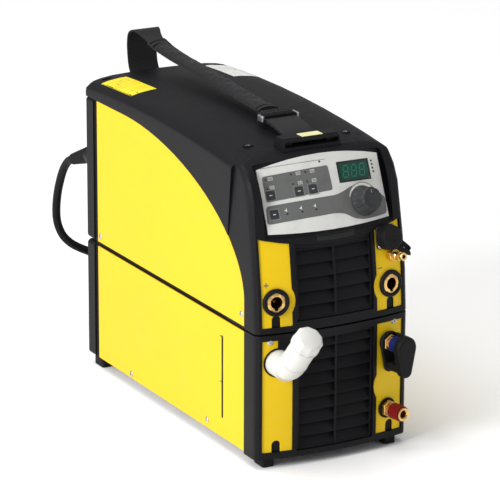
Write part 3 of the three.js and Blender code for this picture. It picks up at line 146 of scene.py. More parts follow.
class Shader:
    """Builds one material's nodes."""

    def __init__(self, name: str) -> None:
        """Starts a material with an empty Principled surface.

        Args:
            name: the material's name.
        """
        self.material = bpy.data.materials.new(name)
        self.material.use_nodes = True
        self.tree = self.material.node_tree
        self.surface = self.tree.nodes["Principled BSDF"]

    def node(self, kind: str, settings: dict, inputs: dict, output: int | str = 0) -> Value:
        """Adds a node, sets it up and feeds its sockets.

        Args:
            kind: the node's type.
            settings: its properties, set first.
            inputs: numbers, colours or values by socket name or number.
            output: the output to return.

        Returns:
            The chosen output as a value.
        """
        made = self.tree.nodes.new(kind)
        for key, setting in settings.items():
            setattr(made, key, setting)
        for key, given in inputs.items():
            self.feed(made.inputs[key], given)
        return Value(self, made.outputs[output])

    def feed(self, socket: bpy.types.NodeSocket, given: object) -> None:
        """Links a value to a socket, or sets the socket to a constant.

        Args:
            socket: the socket to feed.
            given: a value, or a constant.
        """
        if isinstance(given, Value):
            self.tree.links.new(given.socket, socket)
        else:
            socket.default_value = given

    def place(self, stretch: Colour = (1, 1, 1)) -> Value:
        """The piece's own coordinates, stretched along each axis."""
        here = self.node("ShaderNodeTexCoord", {}, {}, "Object")
        return self.node("ShaderNodeMapping", {}, {"Vector": here, "Scale": stretch})

    def uv(self) -> Value:
        """The piece's own UV map, in metres."""
        return self.node("ShaderNodeTexCoord", {}, {}, "UV")

    def noise(self, place: Value, scale: float, detail: float = 3, rough: float = 0.5) -> Value:
        """Cloudy noise from 0 to 1.

        Args:
            place: where on the piece.
            scale: features in a metre.
            detail: how many finer layers are added.
            rough: how strong the finer layers are.

        Returns:
            The noise.
        """
        return self.node(
            "ShaderNodeTexNoise", {},
            {"Vector": place, "Scale": scale, "Detail": detail, "Roughness": rough})

    def axis(self, place: Value, which: str) -> Value:
        """One coordinate of a place."""
        return self.node("ShaderNodeSeparateXYZ", {}, {"Vector": place}, which)

    def mix(self, amount: Value, low: Colour, high: Colour) -> Value:
        """A colour between two, by amount.

        Args:
            amount: 0 for the low colour, 1 for the high one.
            low: a colour or a value.
            high: a colour or a value.

        Returns:
            The mixed colour.
        """
        made = self.tree.nodes.new("ShaderNodeMix")
        made.data_type = "RGBA"
        self.feed(made.inputs[0], amount)
        for socket, colour in ((made.inputs[6], low), (made.inputs[7], high)):
            self.feed(socket, colour if isinstance(colour, Value) else (*colour, 1))
        return Value(self, made.outputs[2])

    def bump(self, height: Value, depth: float, under: Value | None = None) -> Value:
        """A normal from a height in metres times depth, over another normal.

        Args:
            height: the height.
            depth: what it is multiplied by, in metres.
            under: the normal that it lies over.

        Returns:
            The bumped normal.
        """
        inputs = {"Height": height, "Distance": depth, "Strength": 1.0}
        if under is not None:
            inputs["Normal"] = under
        return self.node("ShaderNodeBump", {}, inputs)

    def soft_edges(self, radius: float) -> Value:
        """A normal that rounds sharp edges."""
        return self.node("ShaderNodeBevel", {"samples": 4}, {"Radius": radius})

    def finish(self, **sockets: object) -> bpy.types.Material:
        """Feeds the surface's sockets, named with underscores for spaces.

        Args:
            **sockets: constants or values.

        Returns:
            The finished material.
        """
        for key, given in sockets.items():
            self.feed(self.surface.inputs[key.replace("_", " ")], given)
        return self.material


# ------------------------------------------------------------------ finishes


def shade(colour: Colour, factor: float) -> Colour:
    """A colour made lighter or darker."""
    return tuple(min(1.0, channel * factor) for channel in colour)


@dataclass(frozen=True)
class Finish:
    """A finish that pieces share.

    Attributes:
        name: the material's name.
        slot: the record's material slot; not used.
        colour: its middle colour, linear.
        rough: its middle roughness.
    """

    name: str
    slot: str
    colour: Colour
    rough: float

    def material(self) -> bpy.types.Material:
        """The finish's material, made once."""
        return bpy.data.materials.get(self.name) or self.make(Shader(self.name))

    def make(self, shader: Shader) -> bpy.types.Material:
        """Builds the material."""
        raise NotImplementedError


@dataclass(frozen=True)
class Moulding(Finish):
    """Moulded plastic with a spark-eroded grain, faint scuffs and softened corners.

    Attributes:
        grain: the grain's depth in metres.
        edge: the radius that softens its corners.
        shine: how strongly it mirrors.
    """

    grain: float = 0.00005
    edge: float = 0.0007
    shine: float = 0.14

    def make(self, shader: Shader) -> bpy.types.Material:
        """Builds the material.

        Args:
            shader: the builder of its nodes.

        Returns:
            The material.
        """
        here = shader.place()
        cloud = shader.noise(here, 14, 4)
        fine = shader.noise(here, 1900, 2)
        scuff = shader.noise(shader.place((40, 6, 300)), 1.6, 5, 0.62).between(0.6, 0.78)
        base = shader.mix(cloud, shade(self.colour, 0.78), shade(self.colour, 1.25))
        worn = shader.mix(scuff * 0.22, base, shade(self.colour, 2.2))
        rough = cloud * 0.12 + fine * 0.12 + (self.rough - 0.12) - scuff * 0.08
        return shader.finish(
            Base_Color=worn, Roughness=rough, Specular_IOR_Level=self.shine,
            Normal=shader.bump(fine, self.grain, shader.soft_edges(self.edge)))


@dataclass(frozen=True)
class PowderCoat(Finish):
    """Powder-coated sheet with a slight orange peel and a little dust."""

    def make(self, shader: Shader) -> bpy.types.Material:
        """Builds the material.

        Args:
            shader: the builder of its nodes.

        Returns:
            The material.
        """
        here = shader.place()
        peel = shader.noise(here, 520, 2, 0.4)
        cloud = shader.noise(here, 9, 4)
        dust = shader.noise(shader.place((1, 1, 2.5)), 22, 5, 0.6).between(0.52, 0.82)
        clean = shader.mix(cloud, shade(self.colour, 0.95), shade(self.colour, 1.04))
        coat = shader.mix(dust * 0.10, clean, (0.55, 0.47, 0.26))
        rough = cloud * 0.10 + peel * 0.06 + (self.rough - 0.06) + dust * 0.10
        return shader.finish(
            Base_Color=coat, Roughness=rough, Specular_IOR_Level=0.18,
            Normal=shader.bump(peel, 0.00004, shader.soft_edges(0.0006)))


@dataclass(frozen=True)
class Metal(Finish):
    """Machined metal with tool marks and a light tarnish.

    Attributes:
        marks: how the tool marks are stretched along each axis.
    """

    marks: Colour = (1, 12, 1)

    def make(self, shader: Shader) -> bpy.types.Material:
        """Builds the material.

        Args:
            shader: the builder of its nodes.

        Returns:
            The material.
        """
        lines = shader.noise(shader.place(self.marks), 420, 3)
        stain = shader.noise(shader.place(), 90, 4).between(0.4, 0.75)
        metal = shader.mix(stain, shade(self.colour, 1.08), shade(self.colour, 0.62))
        rough = lines * 0.14 + stain * 0.16 + (self.rough - 0.1)
        return shader.finish(
            Base_Color=metal, Roughness=rough, Metallic=1.0,
            Normal=shader.bump(lines, 0.00002, shader.soft_edges(0.0003)))


@dataclass(frozen=True)
class Milky(Finish):
    """Natural polyethylene: waxy, slightly see-through, with a cloudy tone."""

    def make(self, shader: Shader) -> bpy.types.Material:
        """Builds the material.

        Args:
            shader: the builder of its nodes.

        Returns:
            The material.
        """
        here = shader.place()
        cloud = shader.noise(here, 45, 4)
        fine = shader.noise(here, 900, 2)
        wax = shader.mix(cloud, shade(self.colour, 0.86), shade(self.colour, 1.08))
        rough = cloud * 0.15 + fine * 0.06 + (self.rough - 0.1)
        return shader.finish(
            Base_Color=wax, Roughness=rough, Subsurface_Weight=0.35,
            Subsurface_Radius=(0.006, 0.005, 0.004), Subsurface_Scale=1.0,
            Normal=shader.bump(fine, 0.00003, shader.soft_edges(0.0008)))


@dataclass(frozen=True)
class Webbing(Finish):
    """Woven webbing: ribs across, twill along, read from the UV map in metres."""

    def make(self, shader: Shader) -> bpy.types.Material:
        """Builds the material.

        Args:
            shader: the builder of its nodes.

        Returns:
            The material.
        """
        place = shader.uv()
        across = shader.axis(place, "X")
        along = shader.axis(place, "Y")
        twill = shader.node(
            "ShaderNodeMath", {"operation": "SINE"}, {0: across * 3600 + along * 2600})
        counter = shader.node(
            "ShaderNodeMath", {"operation": "SINE"}, {0: along * 4200})
        weave = twill * 0.3 + counter * 0.2 + 0.5
        fluff = shader.noise(shader.place(), 1400, 3)
        yarn = shader.mix(weave * 0.7 + fluff * 0.3, shade(self.colour, 0.5),
                          shade(self.colour, 1.9))
        return shader.finish(
            Base_Color=yarn, Roughness=fluff * 0.15 + (self.rough - 0.08), Sheen_Weight=0.04,
            Sheen_Roughness=0.5, Specular_IOR_Level=0.25,
            Normal=shader.bump(weave * 0.8 + fluff * 0.2, 0.0003))


@dataclass(frozen=True)
class Canvas(Finish):
    """Plain-woven nylon canvas, read from the piece's own coordinates."""

    def make(self, shader: Shader) -> bpy.types.Material:
        """Builds the material.

        Args:
            shader: the builder of its nodes.

        Returns:
            The material.
        """
        here = shader.place()
        ends = shader.node(
            "ShaderNodeMath", {"operation": "SINE"}, {0: shader.axis(here, "X") * 5200})
        picks = shader.node(
            "ShaderNodeMath", {"operation": "SINE"}, {0: shader.axis(here, "Y") * 5200})
        weave = ends * picks * 0.5 + 0.5
        fluff = shader.noise(here, 900, 4)
        worn = shader.noise(here, 30, 4).between(0.45, 0.8)
        yarn = shader.mix(weave * 0.5 + fluff * 0.5, shade(self.colour, 0.6),
                          shade(self.colour, 1.7))
        cloth = shader.mix(worn * 0.35, yarn, shade(self.colour, 2.6))
        return shader.finish(
            Base_Color=cloth, Roughness=fluff * 0.15 + (self.rough - 0.08), Sheen_Weight=0.05,
            Sheen_Roughness=0.45, Specular_IOR_Level=0.25,
            Normal=shader.bump(weave * 0.7 + fluff * 0.3, 0.00022))


@dataclass(frozen=True)
class Ink(Finish):
    """A printed or glossy flat colour with a faint fingerprint smudge.

    Attributes:
        glow: how strongly it shines by itself.
    """

    glow: float = 0.0

    def make(self, shader: Shader) -> bpy.types.Material:
        """Builds the material.

        Args:
            shader: the builder of its nodes.

        Returns:
            The material.
        """
        here = shader.place()
        smudge = shader.noise(here, 60, 4).between(0.42, 0.8)
        fine = shader.noise(here, 1500, 2)
        ink = shader.mix(smudge, shade(self.colour, 1.04), shade(self.colour, 0.9))
        rough = smudge * 0.12 + fine * 0.05 + (self.rough - 0.03)
        if self.glow:
            shader.finish(Emission_Color=(*self.colour, 1), Emission_Strength=self.glow)
        return shader.finish(
            Base_Color=ink, Roughness=rough, Specular_IOR_Level=0.25,
            Normal=shader.bump(fine, 0.00001, shader.soft_edges(0.0003)))


BLACK = Moulding("black_casing", "black_moulding", (0.0050, 0.0050, 0.0062), 0.48)
DARK = Moulding("dark_grey_keys", "dark_keys", (0.030, 0.031, 0.033), 0.42, 0.00003, 0.0005)
RUBBER = Moulding("black_rubber", "rubber", (0.0055, 0.0055, 0.006), 0.56, 0.00004, 0.0006)
YELLOW = PowderCoat("yellow_powder_coat", "yellow_paint", (0.71, 0.475, 0.004), 0.36)
BRASS = Metal("turned_brass", "brass", (0.74, 0.47, 0.17), 0.3)
STEEL = Metal("zinc_steel", "steel", (0.52, 0.52, 0.54), 0.36)
ALUMINIUM = Metal("plain_aluminium", "aluminium", (0.66, 0.67, 0.69), 0.38)
WHITE = Milky("milky_plastic", "white_plastic", (0.60, 0.595, 0.565), 0.4)
BLUE = Moulding("blue_moulding", "blue_plastic", (0.006, 0.012, 0.10), 0.4, 0.00002, 0.0005)
RED = Moulding("red_moulding", "red_plastic", (0.17, 0.005, 0.006), 0.38, 0.00002, 0.0005)
WEBBING = Webbing("strap_webbing", "webbing", (0.006, 0.006, 0.007), 0.7)
CANVAS = Canvas("pad_canvas", "webbing", (0.0065, 0.0065, 0.0075), 0.72)
LABEL = Ink("grey_print", "grey_label", (0.53, 0.53, 0.51), 0.36)
DARK_INK = Ink("dark_print", "grey_label", (0.105, 0.108, 0.105), 0.4)
MID_INK = Ink("mid_print", "grey_label", (0.20, 0.21, 0.205), 0.36)
BLACK_INK = Ink("black_print", "grey_label", (0.010, 0.011, 0.011), 0.3)
OCHRE_INK = Ink("ochre_print", "yellow_paint", (0.46, 0.36, 0.015), 0.4)
PALE_INK = Ink("pale_print", "grey_label", (0.62, 0.61, 0.58), 0.36)
YELLOW_INK = Ink("yellow_print", "yellow_paint", (0.84, 0.66, 0.02), 0.4)
CREAM_INK = Ink("cream_print", "grey_label", (0.70, 0.66, 0.36), 0.4)
WHITE_INK = Ink("white_print", "grey_label", (0.74, 0.74, 0.72), 0.4)
GLASS = Ink("display_glass", "display", (0.003, 0.040, 0.027), 0.3)
# the unlit digits shine by themselves at glow 0.12: a painted glow
DIGIT = Ink("display_digits_painted_glow", "display", (0.004, 0.14, 0.085), 0.3, 0.12)
LAMP = Ink("lamp_lens", "display", (0.012, 0.045, 0.03), 0.15)
# dark brown on the socket's bore wall and pin: partly tarnish, partly painted shade of the deep
# bore
SHADED_BORE = Metal("bore_tarnish_and_painted_shade", "brass", (0.16, 0.075, 0.022), 0.42)
BOARD = Ink("circuit_board", "board", (0.015, 0.11, 0.04), 0.5)


# ------------------------------------------------------------------ mesh helpers


def piece(name: str, bm: bmesh.types.BMesh, matrix: Matrix, finish: Finish,
          smooth: float = 32, body: str = MACHINE) -> bpy.types.Object:
    """Turns a mesh in millimetres into a finished piece.

    Args:
        name: the piece's name.
        bm: the mesh, which is freed.
        matrix: from the mesh's place to the casing, in millimetres.
        finish: its finish.
        smooth: faces that meet at less than this many degrees shade as one.
        body: the body that it moves with.

    Returns:
        The object, at the origin.
    """
    bm.transform(TO_ROW @ matrix)
    bmesh.ops.recalc_face_normals(bm, faces=bm.faces)
    shade_by_angle(bm, smooth)
    mesh = bpy.data.meshes.new(name)
    bm.to_mesh(mesh)
    bm.free()
    made = bpy.data.objects.new(name, mesh)
    bpy.context.scene.collection.objects.link(made)
    made.data.materials.append(finish.material())
    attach(made, body)
    return made


def shade_by_angle(bm: bmesh.types.BMesh, degrees: float) -> None:
    """Marks edges sharper than an angle, and shades the rest smooth.

    Args:
        bm: the mesh.
        degrees: the angle.
    """
    limit = math.radians(degrees)
    for face in bm.faces:
        face.smooth = True
    for edge in bm.edges:
        edge.smooth = len(edge.link_faces) == 2 and edge.calc_face_angle(0) < limit


def revolve(profile: Iterable[Point], segments: int = 64) -> bmesh.types.BMesh:
    """A shape turned about its Y axis.

    Args:
        profile: (radius, height) corners, which start and end on the axis or meet.
        segments: steps in the full turn.

    Returns:
        The closed mesh.
    """
    bm = bmesh.new()
    corners = [bm.verts.new((radius, height, 0)) for radius, height in profile]
    edges = [bm.edges.new(pair) for pair in zip(corners, corners[1:])]
    bmesh.ops.spin(
        bm, geom=corners + edges, cent=(0, 0, 0), axis=(0, 1, 0), dvec=(0, 0, 0),
        angle=math.tau, steps=segments, use_merge=True, use_duplicate=False)
    bmesh.ops.remove_doubles(bm, verts=bm.verts, dist=1e-4)
    return bm


def ring_profile(inner: float, outer: float, low: float, high: float, ease: float) -> list[Point]:
    """A closed profile of a ring with eased outer corners.

    Args:
        inner: the hole's radius.
        outer: the ring's radius.
        low: its lower end.
        high: its upper end.
        ease: how far its outer corners are cut back.

    Returns:
        The (radius, height) corners.
    """
    return [
        (inner, low), (outer - ease, low), (outer, low + ease), (outer, high - ease),
        (outer - ease, high), (inner, high), (inner, low)]


def slab(outline: list[Point], low: float, high: float) -> bmesh.types.BMesh:
    """A flat (x, z) outline with thickness along Y.

    Args:
        outline: its corners in order.
        low: the nearer face's y.
        high: the farther face's y.

    Returns:
        The closed mesh.
    """
    bm = bmesh.new()
    face = bm.faces.new([bm.verts.new((x, low, z)) for x, z in outline])
    made = bmesh.ops.extrude_face_region(bm, geom=[face])["geom"]
    moved = [item for item in made if isinstance(item, bmesh.types.BMVert)]
    bmesh.ops.translate(bm, verts=moved, vec=(0, high - low, 0))
    return bm


def rounded(corners: list[Point], radius: float, steps: int = 5) -> list[Point]:
    """An outline whose corners are rounded.

    Args:
        corners: the sharp corners, counterclockwise.
        radius: how far from each corner its round starts.
        steps: points in each round.

    Returns:
        The rounded outline.
    """
    outline = []
    for index, corner in enumerate(corners):
        here = Vector(corner)
        before = Vector(corners[index - 1]) - here
        after = Vector(corners[(index + 1) % len(corners)]) - here
        start = here + before.normalized() * min(radius, before.length / 2)
        end = here + after.normalized() * min(radius, after.length / 2)
        for step in range(steps + 1):
            t = step / steps
            outline.append(tuple(start * (1 - t) ** 2 + here * 2 * t * (1 - t) + end * t * t))
    return outline


def rectangle(x: float, z: float, width: float, height: float) -> list[Point]:
    """A rectangle's corners about a middle."""
    w, h = width / 2, height / 2
    return [(x - w, z - h), (x + w, z - h), (x + w, z + h), (x - w, z + h)]


def polygon(sides: int, across: float, turn: float = 0) -> list[Point]:
    """A regular polygon's corners, sized across its flats.

    Args:
        sides: how many corners.
        across: the distance across its flats.
        turn: the angle of its first corner.

    Returns:
        The corners.
    """
    radius = across / 2 / math.cos(math.pi / sides)
    angles = [turn + math.tau * i / sides for i in range(sides)]
    return [(radius * math.cos(a), radius * math.sin(a)) for a in angles]


def bevelled(made: bpy.types.Object, width: float, segments: int = 2,
             degrees: float = 35) -> bpy.types.Object:
    """Rounds a piece's sharp edges with a live Bevel.

    Args:
        made: the piece.
        width: the bevel's width in millimetres.
        segments: its steps.
        degrees: the least angle that is bevelled.

    Returns:
        The same piece.
    """
    bevel = made.modifiers.new("bevel", "BEVEL")
    bevel.width = width * MM
    bevel.segments = segments
    bevel.limit_method = "ANGLE"
    bevel.angle_limit = math.radians(degrees)
    bevel.harden_normals = False
    return made


def smoothed(node: str, finish: Finish, body: str = MACHINE,
             degrees: float = 24) -> bpy.types.Object:
    """A copy of a CAD node whose curved faces shade as one.

    Args:
        node: the node that the copy replaces.
        finish: its finish.
        body: the body that it moves with.
        degrees: faces that meet at less than this shade as one.

    Returns:
        The copy.
    """
    bm = bmesh.new()
    bm.from_mesh(frame["nodes"][node].data)
    bmesh.ops.remove_doubles(bm, verts=bm.verts, dist=3e-6)
    shade_by_angle(bm, degrees)
    mesh = bpy.data.meshes.new(f"{node}_shell")
    bm.to_mesh(mesh)
    bm.free()
    made = bpy.data.objects.new(f"{node}_shell", mesh)
    bpy.context.scene.collection.objects.link(made)
    made.data.materials.append(finish.material())
    made.modifiers.new("even_shading", "WEIGHTED_NORMAL").keep_sharp = True
    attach(made, body)
    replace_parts(made, node)
    return made


def dress(node: str, finish: Finish) -> None:
    """Gives a CAD node that stays a finish.

    Args:
        node: the node's name.
        finish: its finish.
    """
    made = frame["nodes"][node]
    made.data.materials.clear()
    made.data.materials.append(finish.material())


# ------------------------------------------------------------------ places on the casing


def front_lean(z: float) -> float:
    """How far the power source's front leans back at a height, in millimetres.

    Args:
        z: the height.

    Returns:
        The lean.
    """
    for (low, lean), (high, more) in zip(FRONT_LEAN, FRONT_LEAN[1:]):
        if z <= high:
            return lean + (more - lean) * max(0.0, z - low) / (high - low)
    return FRONT_LEAN[-1][1]


def plate_seat(x: float, z: float) -> Matrix:
    """A fitting's place on a front plate: -Y points out of the plate.

    Args:
        x: its place across the front.
        z: its height.

    Returns:
        The place.
    """
    upper = z > FRONT_LEAN[0][0]
    lean = front_lean(z) if upper else 0.0
    slope = (front_lean(z + 5) - front_lean(z - 5)) / 10 if upper else 0.0
    y = FRONT_Y + lean + PLATE_SINK + x * x / (2 * FRONT_BOW)
    return (Matrix.Translation((x, y, z)) @ Matrix.Rotation(math.asin(x / FRONT_BOW), 4, "Z")
            @ Matrix.Rotation(-math.atan(slope), 4, "X"))


def panel_matrix() -> Matrix:
    """The control panel's plane: x across, z up its slope, -Y out of it."""
    return Matrix.Translation(PANEL_PLACE) @ Matrix.Rotation(-PANEL_LEAN, 4, "X")


def panel_seat(x: float, s: float) -> Matrix:
    """A place on the bowed control panel."""
    seat = Matrix.Translation((x, x * x / (2 * FRONT_BOW), s))
    return panel_matrix() @ seat @ Matrix.Rotation(math.asin(x / FRONT_BOW), 4, "Z")


def pointing(origin: Iterable[float], direction: Iterable[float]) -> Matrix:
    """A place whose Y axis points along a direction."""
    turn = Vector((0, 1, 0)).rotation_difference(Vector(direction))
    return Matrix.Translation(Vector(origin)) @ turn.to_matrix().to_4x4()


OUTWARD = Matrix.Rotation(math.pi, 4, "Z")  # turns a shape that grows along +Y out of the front


# ------------------------------------------------------------------ camera, light, floor


@dataclass(frozen=True)
class Studio:
    """The camera, the lights and the pale floor.

    Attributes:
        azimuth: the camera's angle from straight ahead, in degrees.
        elevation: its height angle, in degrees.
        distance: how far it is from its target, in metres.
        target: what it looks at, in millimetres of the casing.
        lens: its focal length on a 36 mm sensor.
        roll: its tilt, in degrees.
    """

    azimuth: float = -28.88
    elevation: float = 17.3
    distance: float = 3.7003
    target: tuple[float, float, float] = (6.53, 0.0, 179.34)
    lens: float = 238.2
    roll: float = 0.2

    def build(self) -> None:
        """Makes the camera, lights, world and floor."""
        self.camera()
        self.light("key", (-2.6, -0.75, 1.5), 1.3, 84)
        self.light("fill", (1.9, -1.6, 1.0), 1.2, 5)
        self.sky((-0.25, 0.15, 1.0), 1.9)
        world = bpy.data.worlds.new("studio")
        world.use_nodes = True
        background = world.node_tree.nodes["Background"]
        background.inputs["Color"].default_value = (1, 1, 1, 1)
        background.inputs["Strength"].default_value = 0.42
        bpy.context.scene.world = world
        bpy.context.scene.view_settings.view_transform = "Standard"
        self.floor()

    def camera(self) -> None:
        """Makes the camera."""
        azimuth, elevation = math.radians(self.azimuth), math.radians(self.elevation)
        back = Vector((
            math.sin(azimuth) * math.cos(elevation), -math.cos(azimuth) * math.cos(elevation),
            math.sin(elevation)))
        camera = bpy.data.objects.new("camera", bpy.data.cameras.new("camera"))
        bpy.context.scene.collection.objects.link(camera)
        camera.data.lens = self.lens
        camera.data.sensor_width = 36
        camera.data.clip_end = 50
        camera.location = TO_ROW @ Vector(self.target) + back * self.distance
        turn = back.to_track_quat("Z", "Y").to_matrix().to_4x4()
        camera.rotation_euler = (turn @ Matrix.Rotation(math.radians(self.roll), 4, "Z")).to_euler()
        bpy.context.scene.camera = camera

    def light(self, name: str, place: tuple[float, float, float], size: float,
              power: float) -> None:
        """Makes a soft square light that faces the machine.

        Args:
            name: the light's name.
            place: where it stands, in metres.
            size: its side, in metres.
            power: its power, in watts.
        """
        lamp = bpy.data.lights.new(name, "AREA")
        lamp.size = size
        lamp.energy = power
        made = bpy.data.objects.new(name, lamp)
        bpy.context.scene.collection.objects.link(made)
        made.location = place
        aim = Vector(place) - Vector((0, 0, 0.15))
        made.rotation_euler = aim.to_track_quat("Z", "Y").to_euler()

    def sky(self, toward: tuple[float, float, float], strength: float) -> None:
        """Makes an even, very soft light from overhead.

        Args:
            toward: the direction that it shines from.
            strength: its strength.
        """
        lamp = bpy.data.lights.new("overhead", "SUN")
        lamp.energy = strength
        lamp.angle = math.radians(50)
        made = bpy.data.objects.new("overhead", lamp)
        bpy.context.scene.collection.objects.link(made)
        made.rotation_euler = Vector(toward).to_track_quat("Z", "Y").to_euler()

    def floor(self) -> None:
        """Makes the floor."""
        bm = bmesh.new()
        bmesh.ops.create_circle(bm, cap_ends=True, radius=14, segments=64)
        mesh = bpy.data.meshes.new("floor")
        bm.to_mesh(mesh)
        bm.free()
        made = bpy.data.objects.new("floor", mesh)
        bpy.context.scene.collection.objects.link(made)
        shader = Shader("floor")
        cloud = shader.noise(shader.place(), 3, 2)
        mesh.materials.append(shader.finish(
            Base_Color=shader.mix(cloud, (0.93, 0.93, 0.93), (0.95, 0.95, 0.95)),
            Roughness=0.55))


# ------------------------------------------------------------------ mains lead


class Lay(Enum):
    """How one stretch of the coil moves on: outwards, inwards or down a layer."""

    OUT = 1
    IN = -1
    DOWN = 0


@dataclass(frozen=True)
class MainsLead:
    """The mains lead from its strain relief through its coil to the plug, in millimetres."""

    diameter: float = 10.0
    route: tuple[tuple[float, float, float], ...] = (
        (-77, 279.6, 226.7), (-77, 291, 221.5), (-77, 301.5, 212.5), (-76.8, 310, 201.5),
        (-76.5, 317, 189.5), (-76.2, 323, 177), (-75.8, 327.5, 164.5), (-75, 331, 152),
        (-73.8, 332.8, 140), (-71.3, 332.6, 128.5), (-66.8, 330, 117.5), (-59, 327, 108.5),
        (-48.5, 325.3, 101.5), (-36.5, 325.3, 95.3), (-22, 327, 88), (-6, 330.5, 79.5),
        (10, 335, 69.8), (25, 338.8, 59.6), (38.5, 341, 49.8), (50, 341.5, 42.2),
        (60, 340.4, 37.2))
    coil_middle: Point = (50.0, 297.0)
    inner: float = 44.5
    outer: float = 65.3
    layer: float = 10.2
    top_z: float = 25.6
    landing: float = 100.0  # degrees over which the lead settles on the coil
    drop: float = 120.0  # degrees over which it goes down a layer
    step: float = 20.0
    plug_lead: float = 38.0
    plug_side: float = 66.8

    def coil(self) -> list[Vector]:
        """The coil's points: three layers of two turns, wound out, in and out again.

        Returns:
            The points.
        """
        start = Vector(self.route[-1])
        middle = Vector((*self.coil_middle, 0))
        angle = math.degrees(math.atan2(start.y - middle.y, start.x - middle.x))
        turned, layer_z = 0.0, self.top_z
        last_sweep = 2327 - 2 * (720 + self.drop)
        stretches = (
            (Lay.OUT, 720.0), (Lay.DOWN, self.drop), (Lay.IN, 720.0), (Lay.DOWN, self.drop),
            (Lay.OUT, last_sweep))
        radius = self.inner
        points = []
        for lay, sweep in stretches:
            count = round(sweep / self.step)
            for index in range(1, count + 1):
                share = index / count
                here = math.radians(angle - turned - sweep * share)
                grown = radius + lay.value * (self.outer - self.inner) * share
                z = layer_z
                if lay is Lay.DOWN:
                    z -= self.layer * share * share * (3 - 2 * share)
                settling = 1 - (turned + sweep * share) / self.landing
                if settling > 0:
                    z += (start.z - self.top_z) * settling * settling
                points.append(middle + Vector((math.cos(here) * grown, math.sin(here) * grown, z)))
            turned += sweep
            radius += lay.value * (self.outer - self.inner)
            layer_z -= self.layer if lay is Lay.DOWN else 0
        return points

    def line(self) -> list[Vector]:
        """The whole centreline as one smooth run of close points.

        Returns:
            The close points.
        """
        x, y = self.coil_middle
        tail = [
            Vector((x - 16, y - self.plug_side + 1.2, 5.3)),
            Vector((x - 30, y - self.plug_side + 0.2, 5.8)),
            Vector((x - self.plug_lead - 4, y - self.plug_side, 7.2))]
        return smooth_line([Vector(p) for p in self.route] + self.coil() + tail, 4)

    def build(self) -> None:
        """Makes the gland, the lead and its plug."""
        points = [TO_ROW @ point for point in self.line()]
        curve = bpy.data.curves.new("mains_lead", "CURVE")
        curve.dimensions = "3D"
        curve.bevel_depth = self.diameter / 2 * MM
        curve.bevel_resolution = 4
        curve.use_fill_caps = True
        spline = curve.splines.new("POLY")
        spline.points.add(len(points) - 1)
        for target, point in zip(spline.points, points):
            target.co = (*point, 1)
        spline.use_smooth = True
        lead = bpy.data.objects.new("mains_lead", curve)
        bpy.context.scene.collection.objects.link(lead)
        curve.materials.append(RUBBER.material())
        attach(lead, MACHINE)
        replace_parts(lead, "mains_cord", "cord_coil")
        plug = self.plug()
        length = sum((b - a).length for a, b in zip(points, points[1:]))
        log.info("mains lead is %.3f m long", length)
        self.gland()

    def plug(self) -> bpy.types.Object:
        """A round two-pin plug with a ribbed nose.

        Returns:
            The body of the plug.
        """
        nose, body, shoulder = 24.0, 56.0, 12.0
        tilt = math.atan((18.5 - 5.5) / (nose + shoulder))
        x, y = self.coil_middle
        place = pointing((x - self.plug_lead, y - self.plug_side, 6.1),
                         (-math.cos(tilt), 0, math.sin(tilt)))
        profile = [(0, 0), (5.2, 0), (5.5, 0.6)]
        for rib in range(4):
            low = 2.5 + rib * 4.6
            radius = 5.8 + rib * 0.8
            profile += [(radius, low), (radius, low + 2.4), (radius - 1.2, low + 2.9),
                        (radius - 1.2, low + 4.3)]
        profile += [
            (9, nose - 2), (12, nose), (15.5, nose + 4), (17.6, nose + 8), (18.5, nose + shoulder),
            (18.5, body - 9), (17.9, body - 8), (17.9, body - 6), (18.5, body - 5),
            (18.5, body - 1.2), (17.6, body), (14.6, body), (14.2, body - 1), (0, body - 1)]
        shell = piece("plug_shell", revolve(profile, 48), place, RUBBER)
        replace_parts(shell, "mains_plug")
        for side in (-1, 1):
            pin = revolve([(0, body - 2), (2.4, body - 2), (2.4, 72.5), (1.9, 74.2), (0, 74.8)], 20)
            beside = place @ Matrix.Translation((9.5 * side, 0, 0))
            made = piece(f"plug_pin_{side + 2}", pin, beside, BRASS)
            made.parent = shell
        return shell

    def gland(self) -> None:
        """The gland nut and its ribbed, drooping strain relief."""
        place = Matrix.Translation((-77, 208, 244))
        nut = slab(polygon(6, 23, math.pi / 6), 0.3, 9)
        made = bevelled(piece("gland_nut", nut, place, BLACK, 20), 0.8)
        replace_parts(made, "cable_gland")
        dome = [
            (0, 8), (11, 8), (11, 13), (10.6, 14), (10.6, 21), (9.6, 24.6), (7, 25.2), (0, 25.2)]
        piece("gland_dome", revolve(dome, 40), place, BLACK)
        droop = math.radians(20)
        relief_place = place @ pointing((0, 24, 0), (0, math.cos(droop), -math.sin(droop)))
        profile, ribs, length = [(0, 0)], 10, 50.0
        pitch = length / ribs
        for rib in range(ribs):
            radius = 10 - 3.2 * rib / (ribs - 1)
            low = rib * pitch
            profile += [
                (radius - 0.4, low), (radius, low + 0.4), (radius, low + 2.4),
                (radius - 0.4, low + 2.8), (radius - 1.9, low + 3.0), (radius - 1.9, low + pitch)]
        profile.append((0, length))
        piece("strain_relief", revolve(profile, 36), relief_place, RUBBER)


